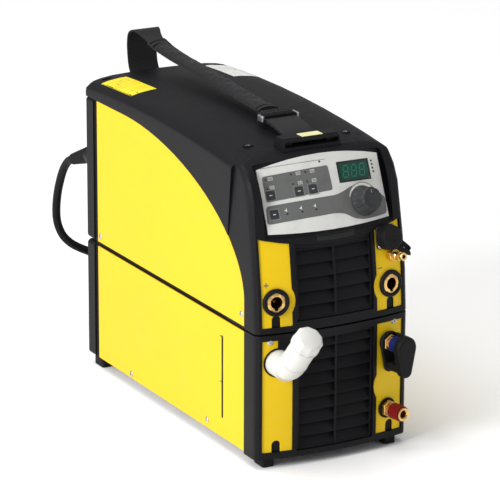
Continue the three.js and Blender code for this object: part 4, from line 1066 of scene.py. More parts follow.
def smooth_line(points: list[Vector], fine: int) -> list[Vector]:
    """A centripetal Catmull-Rom line through points.

    Args:
        points: the points that it passes through.
        fine: steps between two of them.

    Returns:
        The close points.
    """
    padded = [points[0] * 2 - points[1]] + points + [points[-1] * 2 - points[-2]]
    line = [points[0]]
    for p0, p1, p2, p3 in zip(padded, padded[1:], padded[2:], padded[3:]):
        t1 = (p1 - p0).length ** 0.5
        t2 = t1 + (p2 - p1).length ** 0.5
        t3 = t2 + (p3 - p2).length ** 0.5
        for step in range(1, fine + 1):
            t = t1 + (t2 - t1) * step / fine
            a1 = p0 * ((t1 - t) / t1) + p1 * (t / t1)
            a2 = p1 * ((t2 - t) / (t2 - t1)) + p2 * ((t - t1) / (t2 - t1))
            a3 = p2 * ((t3 - t) / (t3 - t2)) + p3 * ((t - t2) / (t3 - t2))
            b1 = a1 * ((t2 - t) / t2) + a2 * (t / t2)
            b2 = a2 * ((t3 - t) / (t3 - t1)) + a3 * ((t - t1) / (t3 - t1))
            line.append(b1 * ((t2 - t) / (t2 - t1)) + b2 * ((t - t1) / (t2 - t1)))
    return line


# ------------------------------------------------------------------ casing


@dataclass(frozen=True)
class Casing:
    """The frames, panels, plates, grilles, roof and feet."""

    mouldings: tuple[str, ...] = (
        "front_frame_lower", "front_frame_upper", "rear_frame_lower", "rear_frame_upper",
        "top_cover", "front_grille_lower", "front_grille_upper")
    sheets: tuple[str, ...] = (
        "side_panel_lower_left", "side_panel_lower_right", "side_panel_upper_left",
        "side_panel_upper_right", "front_plate_upper_left", "front_plate_upper_right",
        "front_plate_lower_left", "front_plate_lower_right")

    def build(self) -> None:
        """Makes the shells, screws and roof labels."""
        for node in self.mouldings:
            smoothed(node, BLACK)
        for node in self.sheets:
            smoothed(node, YELLOW)
        for name in ("base_plate", "deck_plate"):
            dress(name, STEEL)
        self.feet()
        self.side_screws()
        self.plate_screws()
        self.roof()
        self.name_strip()
        self.sight_strip()
        self.seam_gasket()

    def name_strip(self) -> None:
        """A plain glossy strip on the lip under the control panel."""
        tree = surface_tree("front_frame_upper")
        bm = bmesh.new()
        bmesh.ops.create_grid(bm, x_segments=14, y_segments=3, size=0.5)
        missed = []
        for vertex in bm.verts:
            x = vertex.co.x * 46 + 3
            z = 249.6 + vertex.co.y * 6.6 + x * x / 650
            start = TO_ROW @ Vector((x, -300, z))
            hit = tree.ray_cast(start, Vector((0, 1, 0)))[0]
            if hit is None:
                missed.append(vertex)
                continue
            vertex.co = (x, hit.y / MM - SHIFT_Y - 0.15, z)
        bmesh.ops.delete(bm, geom=missed, context="VERTS")
        bmesh.ops.solidify(bm, geom=bm.faces[:], thickness=0.15)
        piece("name_strip", bm, Matrix.Identity(4), BLACK_INK)

    def seam_gasket(self) -> None:
        """The dark gasket that closes the seam between the two casings from inside."""
        for side in (-1, 1):
            strip = slab(rectangle(0, 0, 352, 9), 0, 1)
            place = pointing((89.8 * side, 14, 152), (side, 0, 0))
            piece(f"seam_gasket_{side + 2}", strip, place, RUBBER)

    def sight_strip(self) -> None:
        """The dark sight glass behind the coolant slot and its two level marks."""
        strip = slab(rounded(rectangle(0, 0, 2.6, 97), 1), 0.3, 1.1)
        place = pointing((-94, -121, 83.5), (1, 0, 0))
        piece("sight_glass", strip, place, RUBBER)
        for index, z in enumerate((129.4, 77.6)):
            tick = slab(rectangle(0, 0, 1.1, 5.4), -0.12, 0.02)
            turned = pointing((-94, -118, z), (1, 0, 0)) @ Matrix.Rotation(math.pi / 2, 4, "Y")
            piece(f"level_mark_{index}", tick, turned, BLACK_INK)

    def feet(self) -> None:
        """The rubber feet, rounded blocks with softened edges."""
        for name, x, y in (("front_left", -76, -182), ("front_right", 76, -182),
                           ("rear_left", -83, 190), ("rear_right", 83, 190)):
            block = slab(rounded(rectangle(0, 0, 14, 22), 3), 0, 10.7)
            lying = Matrix.Translation((x, y, 0)) @ Matrix.Rotation(math.pi / 2, 4, "X")
            made = piece(f"rubber_foot_{name}", block, lying, RUBBER)
            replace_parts(bevelled(made, 0.9), f"foot_{name}")

    def side_screws(self) -> None:
        """Button-head screws in the side panels."""
        for side in (-1, 1):
            for index, (y, z) in enumerate(
                    ((172.9, 163.1), (-164.2, 168.1), (96.9, 19.4), (-86.5, 23.3))):
                place = pointing((94 * side, y, z), (side, 0, 0))
                screw(f"side_screw_{index}_{'left' if side < 0 else 'right'}", place, 3.4, 1.5)

    def plate_screws(self) -> None:
        """Screws that hold the cooler's front plates."""
        for index, (x, z) in enumerate(((-77.5, 143.4), (75.1, 143.8))):
            place = plate_seat(x, z) @ OUTWARD @ Matrix.Translation((0, -0.2, 0))
            screw(f"plate_screw_{index}", place, 3.6, 1.6)

    def roof(self) -> None:
        """Roof screws in shallow dishes, and two plain labels with printed lines and boxes."""
        tree = surface_tree("top_cover")
        for side in (-1, 1):
            z = drop_on(tree, 60 * side, -115)
            place = pointing((60 * side, -115, z + 0.2), (0, 0, 1))
            dish = revolve(ring_profile(3.6, 5.8, -0.8, 0.5, 0.4), 32)
            piece(f"roof_dish_{side + 2}", dish, place, BLACK)
            screw(f"roof_screw_{side + 2}", place @ Matrix.Translation((0, -1.2, 0)), 3.4, 1.3)
        roof_label("roof_label_yellow", tree, (-84.5, -52), (112, 188), YELLOW_INK)
        roof_label("roof_label_white", tree, (52, 86.5), (122, 193), WHITE_INK)
        for index, (x, y, wide, deep) in enumerate((
                (-76, 172, 14, 9), (-62, 172, 8, 9), (-69, 158, 27, 0.8), (-69, 152, 27, 0.8),
                (-69, 146, 27, 0.8), (-79, 130, 9, 9), (-63, 134, 16, 0.8), (-63, 127, 16, 0.8))):
            self.roof_box(f"label_box_{index}", tree, (x, y), (wide, deep), OCHRE_INK)
        for index, (y, wide) in enumerate((
                (186, 26), (176, 18), (170, 26), (164, 22), (152, 26), (140, 24), (134, 18),
                (128, 26))):
            self.roof_box(f"data_row_{index}", tree, (56 + wide / 2, y), (wide, 0.9), PALE_INK)

    def roof_box(self, name: str, tree: BVHTree, middle: Point, size: Point,
                 finish: Finish) -> None:
        """A thin printed line, or a box of four lines, on a roof label.

        Args:
            name: the pieces' name.
            tree: the roof's faces.
            middle: its middle (x, y).
            size: its width and depth.
            finish: its finish.
        """
        (x, y), (wide, deep) = middle, size
        line = 0.8
        rows = [(y, line)] if deep <= line + 0.2 else [(y - deep / 2, line), (y + deep / 2, line)]
        for index, (row, thick) in enumerate(rows):
            roof_label(f"{name}_{index}", tree, (x - wide / 2, x + wide / 2),
                       (row - thick / 2, row + thick / 2), finish, 0.2)
        if len(rows) == 2:
            for index, column in enumerate((x - wide / 2, x + wide / 2)):
                roof_label(f"{name}_side_{index}", tree, (column - line / 2, column + line / 2),
                           (rows[0][0], rows[1][0]), finish, 0.2)


def surface_tree(node: str) -> BVHTree:
    """A search tree over a CAD node's faces, in the row's metres.

    Args:
        node: the node's name.

    Returns:
        The search tree.
    """
    mesh = frame["nodes"][node].data
    vertices = [vertex.co.copy() for vertex in mesh.vertices]
    return BVHTree.FromPolygons(vertices, [tuple(face.vertices) for face in mesh.polygons])


def drop_on(tree: BVHTree, x: float, y: float) -> float:
    """The height at which a plumb line meets the roof, in millimetres.

    Args:
        tree: the roof's faces.
        x: the line's place across.
        y: its place along.

    Returns:
        The height.
    """
    top = TO_ROW @ Vector((x, y, 420))
    hit = tree.ray_cast(top, Vector((0, 0, -1)))[0]
    return hit.z / MM if hit else 340.0


def roof_label(name: str, tree: BVHTree, xs: Point, ys: Point, finish: Finish,
               lift: float = 0.12) -> None:
    """A thin print that follows the roof.

    Args:
        name: the piece's name.
        tree: the roof's faces.
        xs: its left and right edges.
        ys: its front and rear edges.
        finish: its finish.
        lift: how far its face stands off the roof.
    """
    bm = bmesh.new()
    bmesh.ops.create_grid(bm, x_segments=8, y_segments=8, size=0.5)
    for vertex in bm.verts:
        x = xs[0] + (xs[1] - xs[0]) * (vertex.co.x + 0.5)
        y = ys[0] + (ys[1] - ys[0]) * (vertex.co.y + 0.5)
        vertex.co = (x, y, drop_on(tree, x, y) + lift)
    bmesh.ops.solidify(bm, geom=bm.faces[:], thickness=lift)
    piece(name, bm, Matrix.Identity(4), finish)


def screw(name: str, place: Matrix, radius: float, height: float,
          finish: Finish = STEEL) -> bpy.types.Object:
    """A button-head screw with a six-lobed recess.

    Args:
        name: the piece's name.
        place: its seat, with +Y out of the surface.
        radius: the head's radius.
        height: the head's height.
        finish: its finish.

    Returns:
        The screw.
    """
    bm = bmesh.new()
    made = bmesh.ops.create_circle(bm, segments=24, radius=radius)
    ring = list({edge for vertex in made["verts"] for edge in vertex.link_edges})
    for scale, rise in ((0.97, 0.45), (0.86, 0.35), (0.66, 0.2)):
        ring = extrude_ring(bm, ring, scale, height * rise)
    ring = extrude_ring(bm, ring, 0.8, 0)
    corners = {vertex for edge in ring for vertex in edge.verts}
    for vertex in corners:
        lobe = 1 + 0.13 * math.cos(6 * math.atan2(vertex.co.y, vertex.co.x))
        vertex.co.x *= lobe
        vertex.co.y *= lobe
    ring = extrude_ring(bm, ring, 0.98, -height * 0.8)
    bmesh.ops.contextual_create(bm, geom=ring)
    upright = Matrix.Rotation(-math.pi / 2, 4, "X")
    return piece(name, bm, place @ upright, finish)


def extrude_ring(bm: bmesh.types.BMesh, ring: list, scale: float, rise: float) -> list:
    """Extrudes a loop of edges, then scales and lifts the new loop.

    Args:
        bm: the mesh.
        ring: the loop's edges.
        scale: the new loop's scale about the Z axis.
        rise: how far it is lifted.

    Returns:
        The new loop's edges.
    """
    made = bmesh.ops.extrude_edge_only(bm, edges=ring)["geom"]
    corners = [item for item in made if isinstance(item, bmesh.types.BMVert)]
    bmesh.ops.scale(bm, verts=corners, vec=(scale, scale, 1))
    bmesh.ops.translate(bm, verts=corners, vec=(0, 0, rise))
    return [item for item in made if isinstance(item, bmesh.types.BMEdge)
            and all(vertex in corners for vertex in item.verts)]


# ------------------------------------------------------------------ control panel


@dataclass(frozen=True)
class ControlPanel:
    """The printed label with its keys, lamps, display and knob."""

    knob_place: Point = (44.5, -14.5)
    display: Point = (39.7, 19.7)
    keys: tuple[tuple[str, float, float], ...] = (
        ("process", -63.5, 6.5), ("trigger", -31, 6.5), ("pulse", -14.5, 6.5),
        ("menu", -63.5, -14))

    def build(self) -> None:
        """Makes the panel's pieces."""
        smoothed("control_label", LABEL)
        dress("control_board", BOARD)
        self.prints()
        self.screen()
        self.lamps()
        for name, x, s in self.keys:
            self.key(name, x, s)
        self.knob()

    def inlay(self, name: str, outline: list[Point], lift: float, finish: Finish) -> None:
        """A thin print that follows the panel's bow.

        Args:
            name: the piece's name.
            outline: its (x, slope) corners.
            lift: how far its face stands off the label.
            finish: its finish.
        """
        bm = bmesh.new()
        face = bm.faces.new([bm.verts.new((x, 0, s)) for x, s in outline])
        left, right = min(x for x, _ in outline), max(x for x, _ in outline)
        cuts = int((right - left) / 7)
        for index in range(1, cuts + 1):
            x = left + (right - left) * index / (cuts + 1)
            bmesh.ops.bisect_plane(
                bm, geom=bm.verts[:] + bm.edges[:] + bm.faces[:], plane_co=(x, 0, 0),
                plane_no=(1, 0, 0))
        made = bmesh.ops.extrude_face_region(bm, geom=bm.faces[:])["geom"]
        fronts = [item for item in made if isinstance(item, bmesh.types.BMVert)]
        bmesh.ops.translate(bm, verts=fronts, vec=(0, -lift, 0))
        for vertex in bm.verts:
            vertex.co.y += vertex.co.x ** 2 / (2 * FRONT_BOW)
        piece(name, bm, panel_matrix(), finish)

    def prints(self) -> None:
        """The printed fields, icons and the knob's scale."""
        field = rounded([(-69.5, -0.4), (9.1, 2.4), (8.1, 29.4), (-69.5, 27.4)], 3)
        self.inlay("print_field", field, 0.06, DARK_INK)
        band = [(-73, -23.8), (8, -22.6), (18, -24.4), (30, -31.5), (41, -33.6), (56, -32.8),
                (72.2, -30.4), (74, -12.9), (62, -5), (52, 2.8), (44, 4.8), (32, 3.6), (22, -0.6),
                (12, -3.4), (-71, -4.4)]
        self.inlay("print_band", rounded(band, 4), 0.05, DARK_INK)
        self.outline("print_frame", (39.7, 19.7), (39.4, 20.9), 1.9, BLACK_INK, 0.09)
        for index, (x, s) in enumerate((
                (-60.5, 24.2), (-28.2, 25.4), (-11.4, 25.6), (-60.3, 14.8), (-27.9, 15.2),
                (-11.1, 15.6))):
            self.outline(f"print_glyph_{index}", (x, s), (4.6, 2.8), 0.45, PALE_INK, 0.1)
            self.inlay(f"print_stroke_{index}", rectangle(x, s, 2.4, 0.5), 0.1, PALE_INK)
        for name, x, s in self.keys:
            self.outline(f"print_surround_{name}", (x, s), (11.6, 11.6), 0.5, MID_INK, 0.1)
        for index, x in enumerate((-49, -31.7, -15.2)):
            self.inlay(f"print_dot_{index}", rounded(rectangle(x, -15.6, 2.2, 2.2), 1), 0.09,
                       BLACK_INK)
            self.inlay(f"print_stem_{index}", rectangle(x, -11.4, 0.55, 4.2), 0.1, PALE_INK)
            self.inlay(f"print_flag_{index}", [(x - 3, -11.6), (x, -12.6), (x, -10.4)], 0.1,
                       PALE_INK)
        self.inlay("print_line", rounded(rectangle(-32, 36.2, 76, 0.5), 0.1), 0.05, MID_INK)
        self.scale()

    def outline(self, name: str, middle: Point, size: Point, line: float, finish: Finish,
                lift: float) -> None:
        """Four printed bars round a rectangle.

        Args:
            name: the bars' name.
            middle: the rectangle's middle.
            size: its width and height between the bars' middles.
            line: the bars' thickness.
            finish: their finish.
            lift: how far they stand off the label.
        """
        (x, s), (wide, tall) = middle, size
        for index, side in enumerate((-1, 1)):
            self.inlay(f"{name}_row_{index}", rounded(
                rectangle(x, s + side * tall / 2, wide + line, line), line / 3), lift, finish)
            self.inlay(f"{name}_column_{index}", rectangle(
                x + side * wide / 2, s, line, tall - line), lift, finish)

    def scale(self) -> None:
        """The pale crescent round the knob's upper right side."""
        x0, s0 = self.knob_place
        steps = 24
        outer, inner = [], []
        for index in range(steps + 1):
            share = index / steps
            angle = math.radians(-12 + 172 * share)
            swell_out = 2.6 * math.sin(math.pi * share) ** 0.8
            for radius, side in ((17.3, inner), (17.6 + swell_out, outer)):
                side.append((x0 + radius * math.cos(angle), s0 + radius * math.sin(angle)))
        for index in range(steps):
            quad = [outer[index], outer[index + 1], inner[index + 1], inner[index]]
            self.inlay(f"scale_crescent_{index}", quad, 0.12, PALE_INK)
            rim = [(x0 + (x - x0) * 1.05, s0 + (s - s0) * 1.05) for x, s in quad[:2]]
            self.inlay(f"scale_rim_{index}", rim + [quad[1], quad[0]], 0.09, MID_INK)

    def screen(self) -> None:
        """The display's glass and its three unlit digits, which shine faintly with a painted glow.
        """
        smoothed("display_window", GLASS)
        x0, s0 = self.display
        for digit in range(3):
            middle = x0 - 10.6 + 10.6 * digit
            for index, (dx, ds, wide, tall) in enumerate((
                    (0, 6.2, 5, 1.1), (0, 0, 5, 1.1), (0, -6.2, 5, 1.1), (-3.2, 3.1, 1.1, 5),
                    (3.2, 3.1, 1.1, 5), (-3.2, -3.1, 1.1, 5), (3.2, -3.1, 1.1, 5))):
                bar = rounded([(x + 0.12 * (s - s0), s) for x, s in
                               rectangle(middle + dx, s0 + ds, wide, tall)], 0.4)
                self.inlay(f"digit_{digit}_{index}", bar, 0.12, DIGIT)

    def lamps(self) -> None:
        """Small round lamps."""
        spots = ((64, 27.8), (64.3, 23.9), (64.3, 20), (64.7, 16), (-0.9, 34.5), (-65.8, 23.9),
                 (-65.5, 14.1), (-36.5, 25.3), (-36.5, 14.9), (-19.5, 25.5), (-19.5, 15.4))
        for index, (x, s) in enumerate(spots):
            dome = revolve([(0, 0), (1.15, 0), (1.1, 0.25), (0.7, 0.5), (0, 0.6)], 16)
            piece(f"lamp_{index}", dome, panel_seat(x, s) @ OUTWARD, LAMP)

    def key(self, name: str, x: float, s: float) -> None:
        """A key cap with rounded corners and a pale mark.

        Args:
            name: the key's name.
            x: its place across the panel.
            s: its place up the slope.
        """
        body = f"{name}_key"
        cap = slab(rounded(rectangle(0, 0, 9.4, 9.4), 1.6), -0.6, 5)
        made = piece(f"key_cap_{name}", cap, panel_seat(x, s), DARK, body=body)
        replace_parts(bevelled(made, 0.3), f"button_{name}")
        mark = slab(rounded(rectangle(0, 0, 3.2, 0.8), 0.3), -0.68, -0.59)
        piece(f"key_mark_{name}", mark, panel_seat(x, s), PALE_INK, body=body)

    def knob(self) -> None:
        """The grooved knob with its pale pointer."""
        seat = panel_seat(*self.knob_place)
        profile = [
            (0, 6), (3, 6), (3, -0.6), (15.6, -0.6), (16, -1), (16, -2.6), (15.2, -3.8),
            (13.8, -8), (13.2, -15.6), (12.2, -17.4), (11.2, -18), (10.4, -17.6), (0, -17.4)]
        bm = revolve(profile, 96)
        for vertex in bm.verts:
            radius = math.hypot(vertex.co.x, vertex.co.z)
            if vertex.co.y < -3.2 and radius > 11.6:
                angle = math.atan2(vertex.co.z, vertex.co.x)
                dip = 1 - 0.075 * max(0.0, math.cos(12 * angle)) ** 2
                vertex.co.x *= dip
                vertex.co.z *= dip
        made = piece("knob_grip", bm, seat, DARK, 40, "knob")
        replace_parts(made, "control_knob")
        pointer = slab(rounded(rectangle(0, 8.2, 0.9, 3.6), 0.4), -17.7, -17.2)
        piece("knob_pointer", pointer, seat, MID_INK, body="knob")


# ------------------------------------------------------------------ front fittings


@dataclass(frozen=True)
class WeldingSocket:
    """A panel socket: a black bayonet ring round a brass contact.

    Attributes:
        sign: plus or minus, as its nodes are named.
        x: its place across the front.
    """

    sign: str
    x: float
    z: float = 186.5

    def build(self) -> None:
        """Makes the socket and its sign."""
        seat = plate_seat(self.x, self.z)
        profile = [(10.6, -0.2), (15, -0.3), (15, -2.4), (14.5, -3.2), (13.6, -3.7), (12.4, -3.7),
                   (11.8, -3.2), (10.6, -2.9), (10.6, -0.2)]
        ring = piece(f"socket_bezel_{self.sign}", revolve(profile, 64), seat, BLACK)
        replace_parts(ring, f"socket_ring_{self.sign}")
        neck = revolve([(10.5, 10), (12.4, 10), (12.4, -0.3), (10.5, -0.3), (10.5, 10)], 48)
        piece(f"socket_neck_{self.sign}", neck, seat, BLACK)
        self.contact(seat)
        self.mark()

    def contact(self, seat: Matrix) -> None:
        """The brass contact: a chamfered hexagon with a keyed bore whose wall and pin are dark
        brown, partly tarnish and partly painted shade.

        Args:
            seat: the socket's place.
        """
        bm = bmesh.new()
        bore = bmesh.ops.create_circle(bm, segments=48, radius=6.6)
        inner = list({edge for vertex in bore["verts"] for edge in vertex.link_edges})
        self.cut_key(bore["verts"])
        rim = bmesh.ops.create_circle(bm, segments=48, radius=9.6)
        outer = list({edge for vertex in rim["verts"] for edge in vertex.link_edges})
        bmesh.ops.bridge_loops(bm, edges=inner + outer)
        skirt = extrude_ring(bm, outer, 1, -0.7)
        for vertex in {vertex for edge in skirt for vertex in edge.verts}:
            angle = math.atan2(vertex.co.y, vertex.co.x) + math.pi / 6
            reach = 10.25 / math.cos((angle % (math.pi / 3)) - math.pi / 6)
            flat = vertex.co.xy.normalized() * reach
            vertex.co.xy = flat
        extrude_ring(bm, skirt, 1, -20)
        extrude_ring(bm, inner, 1, -1.6)
        face_out = seat @ Matrix.Translation((0, -2.6, 0)) @ Matrix.Rotation(math.pi / 2, 4, "X")
        contact = piece(f"socket_brass_{self.sign}", bm, face_out, BRASS)
        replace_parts(contact, f"socket_contact_{self.sign}")
        # the bore's wall: dark brown that is partly tarnish and partly painted shade
        bm = bmesh.new()
        bore = bmesh.ops.create_circle(bm, segments=48, radius=6.62)
        self.cut_key(bore["verts"])
        wall = list({edge for vertex in bore["verts"] for edge in vertex.link_edges})
        bmesh.ops.translate(bm, verts=bm.verts, vec=(0, 0, -1.5))
        wall = extrude_ring(bm, wall, 1, -21)
        bmesh.ops.contextual_create(bm, geom=wall)
        piece(f"socket_bore_{self.sign}", bm, face_out, SHADED_BORE)
        # the pin deep in the bore takes the same tarnish and painted shade
        pin = revolve([(0, 22), (1.9, 22), (1.9, 6), (1.4, 5), (0, 4.8)], 20)
        piece(f"socket_pin_{self.sign}", pin, seat, SHADED_BORE)

    def cut_key(self, corners: list[bmesh.types.BMVert]) -> None:
        """Pulls a bore's lowest corners out into its key slot.

        Args:
            corners: the bore's corners.
        """
        for vertex in corners:
            if abs(math.atan2(vertex.co.x, -vertex.co.y)) < 0.3:
                vertex.co.y = -8.9

    def mark(self) -> None:
        """A plus or a minus beside the socket."""
        side = -1 if self.x < 0 else 1
        x, z = (-80.5, 205.5) if side < 0 else (57.5, 205.5)
        place = plate_seat(x, z)
        bars = [(5.5, 1.1)] if self.sign == "minus" else [(5.5, 1.1), (1.1, 5.5)]
        for index, (wide, tall) in enumerate(bars):
            bar = slab(rectangle(0, 0, wide, tall), -0.12 - 0.02 * index, 0.05)
            piece(f"sign_{self.sign}_{index}", bar, place, DARK_INK)


@dataclass(frozen=True)
class RemoteSocket:
    """The remote-control connector with its tethered dust cap."""

    x: float = 66.5
    z: float = 238.0

    def build(self) -> None:
        """Makes the flange's screws, the cap and its tether."""
        seat = plate_seat(self.x, self.z)
        smoothed("remote_connector", DARK)
        for index, (x, z) in enumerate(((9.6, 9.6), (-9.6, -9.6))):
            place = seat @ Matrix.Translation((x, -2.2, z)) @ OUTWARD
            screw(f"flange_screw_{index}", place, 2.2, 1.1)
        front = -15.2
        profile = [
            (11.3, -2.6), (13.8, -2.6), (14, -2.9), (14, -6), (13.5, -6.4), (13.5, front + 3),
            (12.9, front + 1), (11.6, front), (4.5, front), (4.1, front + 0.5),
            (0, front + 0.5), (0, front + 2), (11.3, front + 2), (11.3, -2.6)]
        cap = piece("dust_cap_shell", revolve(profile, 56), seat, RUBBER, body="dust_cap")
        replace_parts(cap, "remote_cap")
        self.tether(seat)

    def tether(self, seat: Matrix) -> None:
        """The band that keeps the cap on the connector.

        Args:
            seat: the connector's place.
        """
        path = smooth_line([Vector(p) for p in (
            (8, -9, -10.5), (13.5, -10, -14.5), (20, -10.5, -18.6), (25, -9.4, -20),
            (26.4, -7, -17.4), (23.4, -5, -12.6), (17.4, -3.4, -7.4), (12.2, -2.9, -3.6))], 5)
        bm = bmesh.new()
        bmesh.ops.create_grid(bm, x_segments=2, y_segments=len(path) - 1, size=0.5)
        for vertex in bm.verts:
            index = round((vertex.co.y + 0.5) * (len(path) - 1))
            before, after = path[max(0, index - 1)], path[min(len(path) - 1, index + 1)]
            along = (after - before).normalized()
            aside = along.cross(Vector((0, 0.35, 1))).cross(along).normalized()
            vertex.co = path[index] + aside * vertex.co.x * 5.2
        bmesh.ops.solidify(bm, geom=bm.faces[:], thickness=1.5)
        made = piece("dust_cap_tether", bm, seat, RUBBER, 60, "dust_cap")
        bevelled(made, 0.4)


@dataclass(frozen=True)
class GasOutlet:
    """The torch's gas outlet: a nut and a bored spigot."""

    x: float = 73.0
    z: float = 217.0

    def build(self) -> None:
        """Makes the outlet."""
        seat = plate_seat(self.x, self.z)
        nut = slab(polygon(6, 12, math.pi / 6), -6.5, -0.3)
        bevelled(piece("gas_outlet_nut", nut, seat, BRASS, 20), 0.5)
        profile = [
            (2.3, 18), (5, 18), (5, -6.2), (4.6, -6.4), (4.6, -10.6), (4.2, -11.2), (3.6, -12.2),
            (3.6, -12.8), (4.8, -15.4), (4.8, -16.4), (3.8, -16.8), (4.8, -19.4), (4.8, -20.4),
            (4.1, -22), (2.3, -22), (2.3, 18)]
        spigot = piece("gas_outlet_spigot", revolve(profile, 40), seat, BRASS)
        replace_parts(spigot, "gas_outlet")


@dataclass(frozen=True)
class Filler:
    """The bent filler neck of the coolant tank, and its cap."""

    x: float = -68.5
    z: float = 119.5
    radius: float = 14.5
    wall: float = 2.5
    out: float = 24.0
    rise: float = 57.0
    bend: float = math.radians(48)

    def build(self) -> None:
        """Makes the neck and the cap."""
        seat = plate_seat(self.x, self.z)
        base = Matrix.Translation(seat.to_translation())
        up = Vector((0, -math.cos(self.bend), math.sin(self.bend)))
        knee = Vector((0, -self.out, 0))
        line = [Vector((0, 28, 0)), Vector((0, 14, 0)), knee + Vector((0, 15, 0))]
        for index in range(9):
            t = index / 8
            first, last = knee + Vector((0, 13, 0)), knee + up * 13
            line.append(first * (1 - t) ** 2 + knee * 2 * t * (1 - t) + last * t * t)
        line += [knee + up * 15, knee + up * self.rise]
        neck = tube(line, self.radius, self.wall, 56)
        made = piece("filler_tube", neck, base, WHITE, 40)
        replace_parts(made, "filler_neck")
        for index, offset in enumerate((-3.2, 17.2)):
            where = knee + (Vector((0, -offset, 0)) if index == 0 else up * offset)
            facing = Vector((0, -1, 0)) if index == 0 else up
            bead = revolve(ring_profile(self.radius - 0.4, self.radius + 0.55, -0.7, 0.7, 0.5), 56)
            piece(f"filler_bead_{index}", bead, base @ pointing(where, facing), WHITE)
        self.cap(base @ pointing(knee + up * self.rise, up))

    def cap(self, place: Matrix) -> None:
        """The screw cap, with ten shallow flats.

        Args:
            place: the neck's open end, with +Y out of it.
        """
        inner, outer, low, high = self.radius + 0.3, 16.0, -9.0, 8.0
        profile = [
            (inner, low), (outer - 0.9, low), (outer, low + 0.9), (outer, low + 3),
            (outer - 0.3, low + 3.4), (outer - 0.1, high - 4.5), (outer - 0.6, high - 3),
            (outer - 3.6, high - 0.4),
            (outer - 4.2, high), (0, high - 0.3), (0, 0.3), (inner, 0.3), (inner, low)]
        bm = revolve(profile, 120)
        for vertex in bm.verts:
            radius = math.hypot(vertex.co.x, vertex.co.z)
            if low + 3.2 < vertex.co.y < high - 1.5 and radius > outer - 3:
                angle = math.atan2(vertex.co.z, vertex.co.x) % (math.pi / 5) - math.pi / 10
                flute = math.cos(math.pi / 10) / math.cos(angle)
                vertex.co.x *= flute
                vertex.co.z *= flute
        made = piece("filler_cap_shell", bm, place, WHITE, 45, "cap")
        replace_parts(made, "filler_cap")


def tube(line: list[Vector], radius: float, wall: float, sides: int) -> bmesh.types.BMesh:
    """A hollow tube along a line in the Y-Z plane.

    Args:
        line: its centre, from end to end.
        radius: its outer radius.
        wall: its wall.
        sides: corners of its section.

    Returns:
        The closed mesh.
    """
    bm = bmesh.new()
    rings = []
    for index, here in enumerate(line):
        along = line[min(len(line) - 1, index + 1)] - line[max(0, index - 1)]
        upright = Vector((0, 1, 0)).rotation_difference(along).to_matrix().to_4x4()
        turn = Matrix.Translation(here) @ upright @ Matrix.Rotation(math.pi / 2, 4, "X")
        made = bmesh.ops.create_circle(bm, segments=sides, radius=radius, matrix=turn)
        rings.append(list({edge for vertex in made["verts"] for edge in vertex.link_edges}))
    for near, far in zip(rings, rings[1:]):
        bmesh.ops.bridge_loops(bm, edges=near + far)
    bmesh.ops.recalc_face_normals(bm, faces=bm.faces)
    bmesh.ops.solidify(bm, geom=bm.faces[:], thickness=wall)
    return bm


@dataclass(frozen=True)
class QuickCoupling:
    """A coolant coupling: backing ring, nut, bored body and a sliding colour sleeve.

    Attributes:
        colour: its name, as its nodes are named.
        finish: the sleeve's finish.
        z: its height.
    """

    colour: str
    finish: Finish
    z: float
    x: float = 66.5

    def build(self) -> None:
        """Makes the coupling."""
        seat = plate_seat(self.x, self.z)
        backing = revolve(ring_profile(6, 11.4, -2.2, -0.2, 0.5), 48)
        piece(f"coupling_ring_{self.colour}", backing, seat, RUBBER)
        nut = slab(polygon(6, 17, math.pi / 6), -7.5, -2)
        bevelled(piece(f"coupling_nut_{self.colour}", nut, seat, BRASS, 20), 0.7)
        profile = [
            (4, 18), (6.5, 18), (6.5, -7.4), (6.1, -7.6), (6.1, -10.6), (6.5, -11), (6.5, -27.2),
            (7.2, -27.7), (7.4, -28.2), (7.4, -29.4), (6.9, -30), (5.4, -30), (4.6, -29.2),
            (4, -28.6), (4, 18)]
        body = piece(f"coupling_body_{self.colour}", revolve(profile, 48), seat, BRASS)
        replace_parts(body, f"coupling_{self.colour}")
        self.sleeve(seat)

    def sleeve(self, seat: Matrix) -> None:
        """The sliding sleeve, ribbed for the fingers.

        Args:
            seat: the coupling's place.
        """
        profile = [(6.8, -12), (8.1, -12), (8.8, -12.7)]
        for rib in range(4):
            low = -14.6 - rib * 2.4
            profile += [(8.8, low), (8.3, low - 0.35), (8.3, low - 0.95), (8.8, low - 1.3)]
        profile += [(8.8, -26.3), (8.1, -27), (6.8, -27), (6.8, -12)]
        made = piece(f"coupling_sleeve_{self.colour}", revolve(profile, 48), seat, self.finish,
                     body=f"{self.colour}_sleeve")
        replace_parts(made, f"sleeve_{self.colour}")


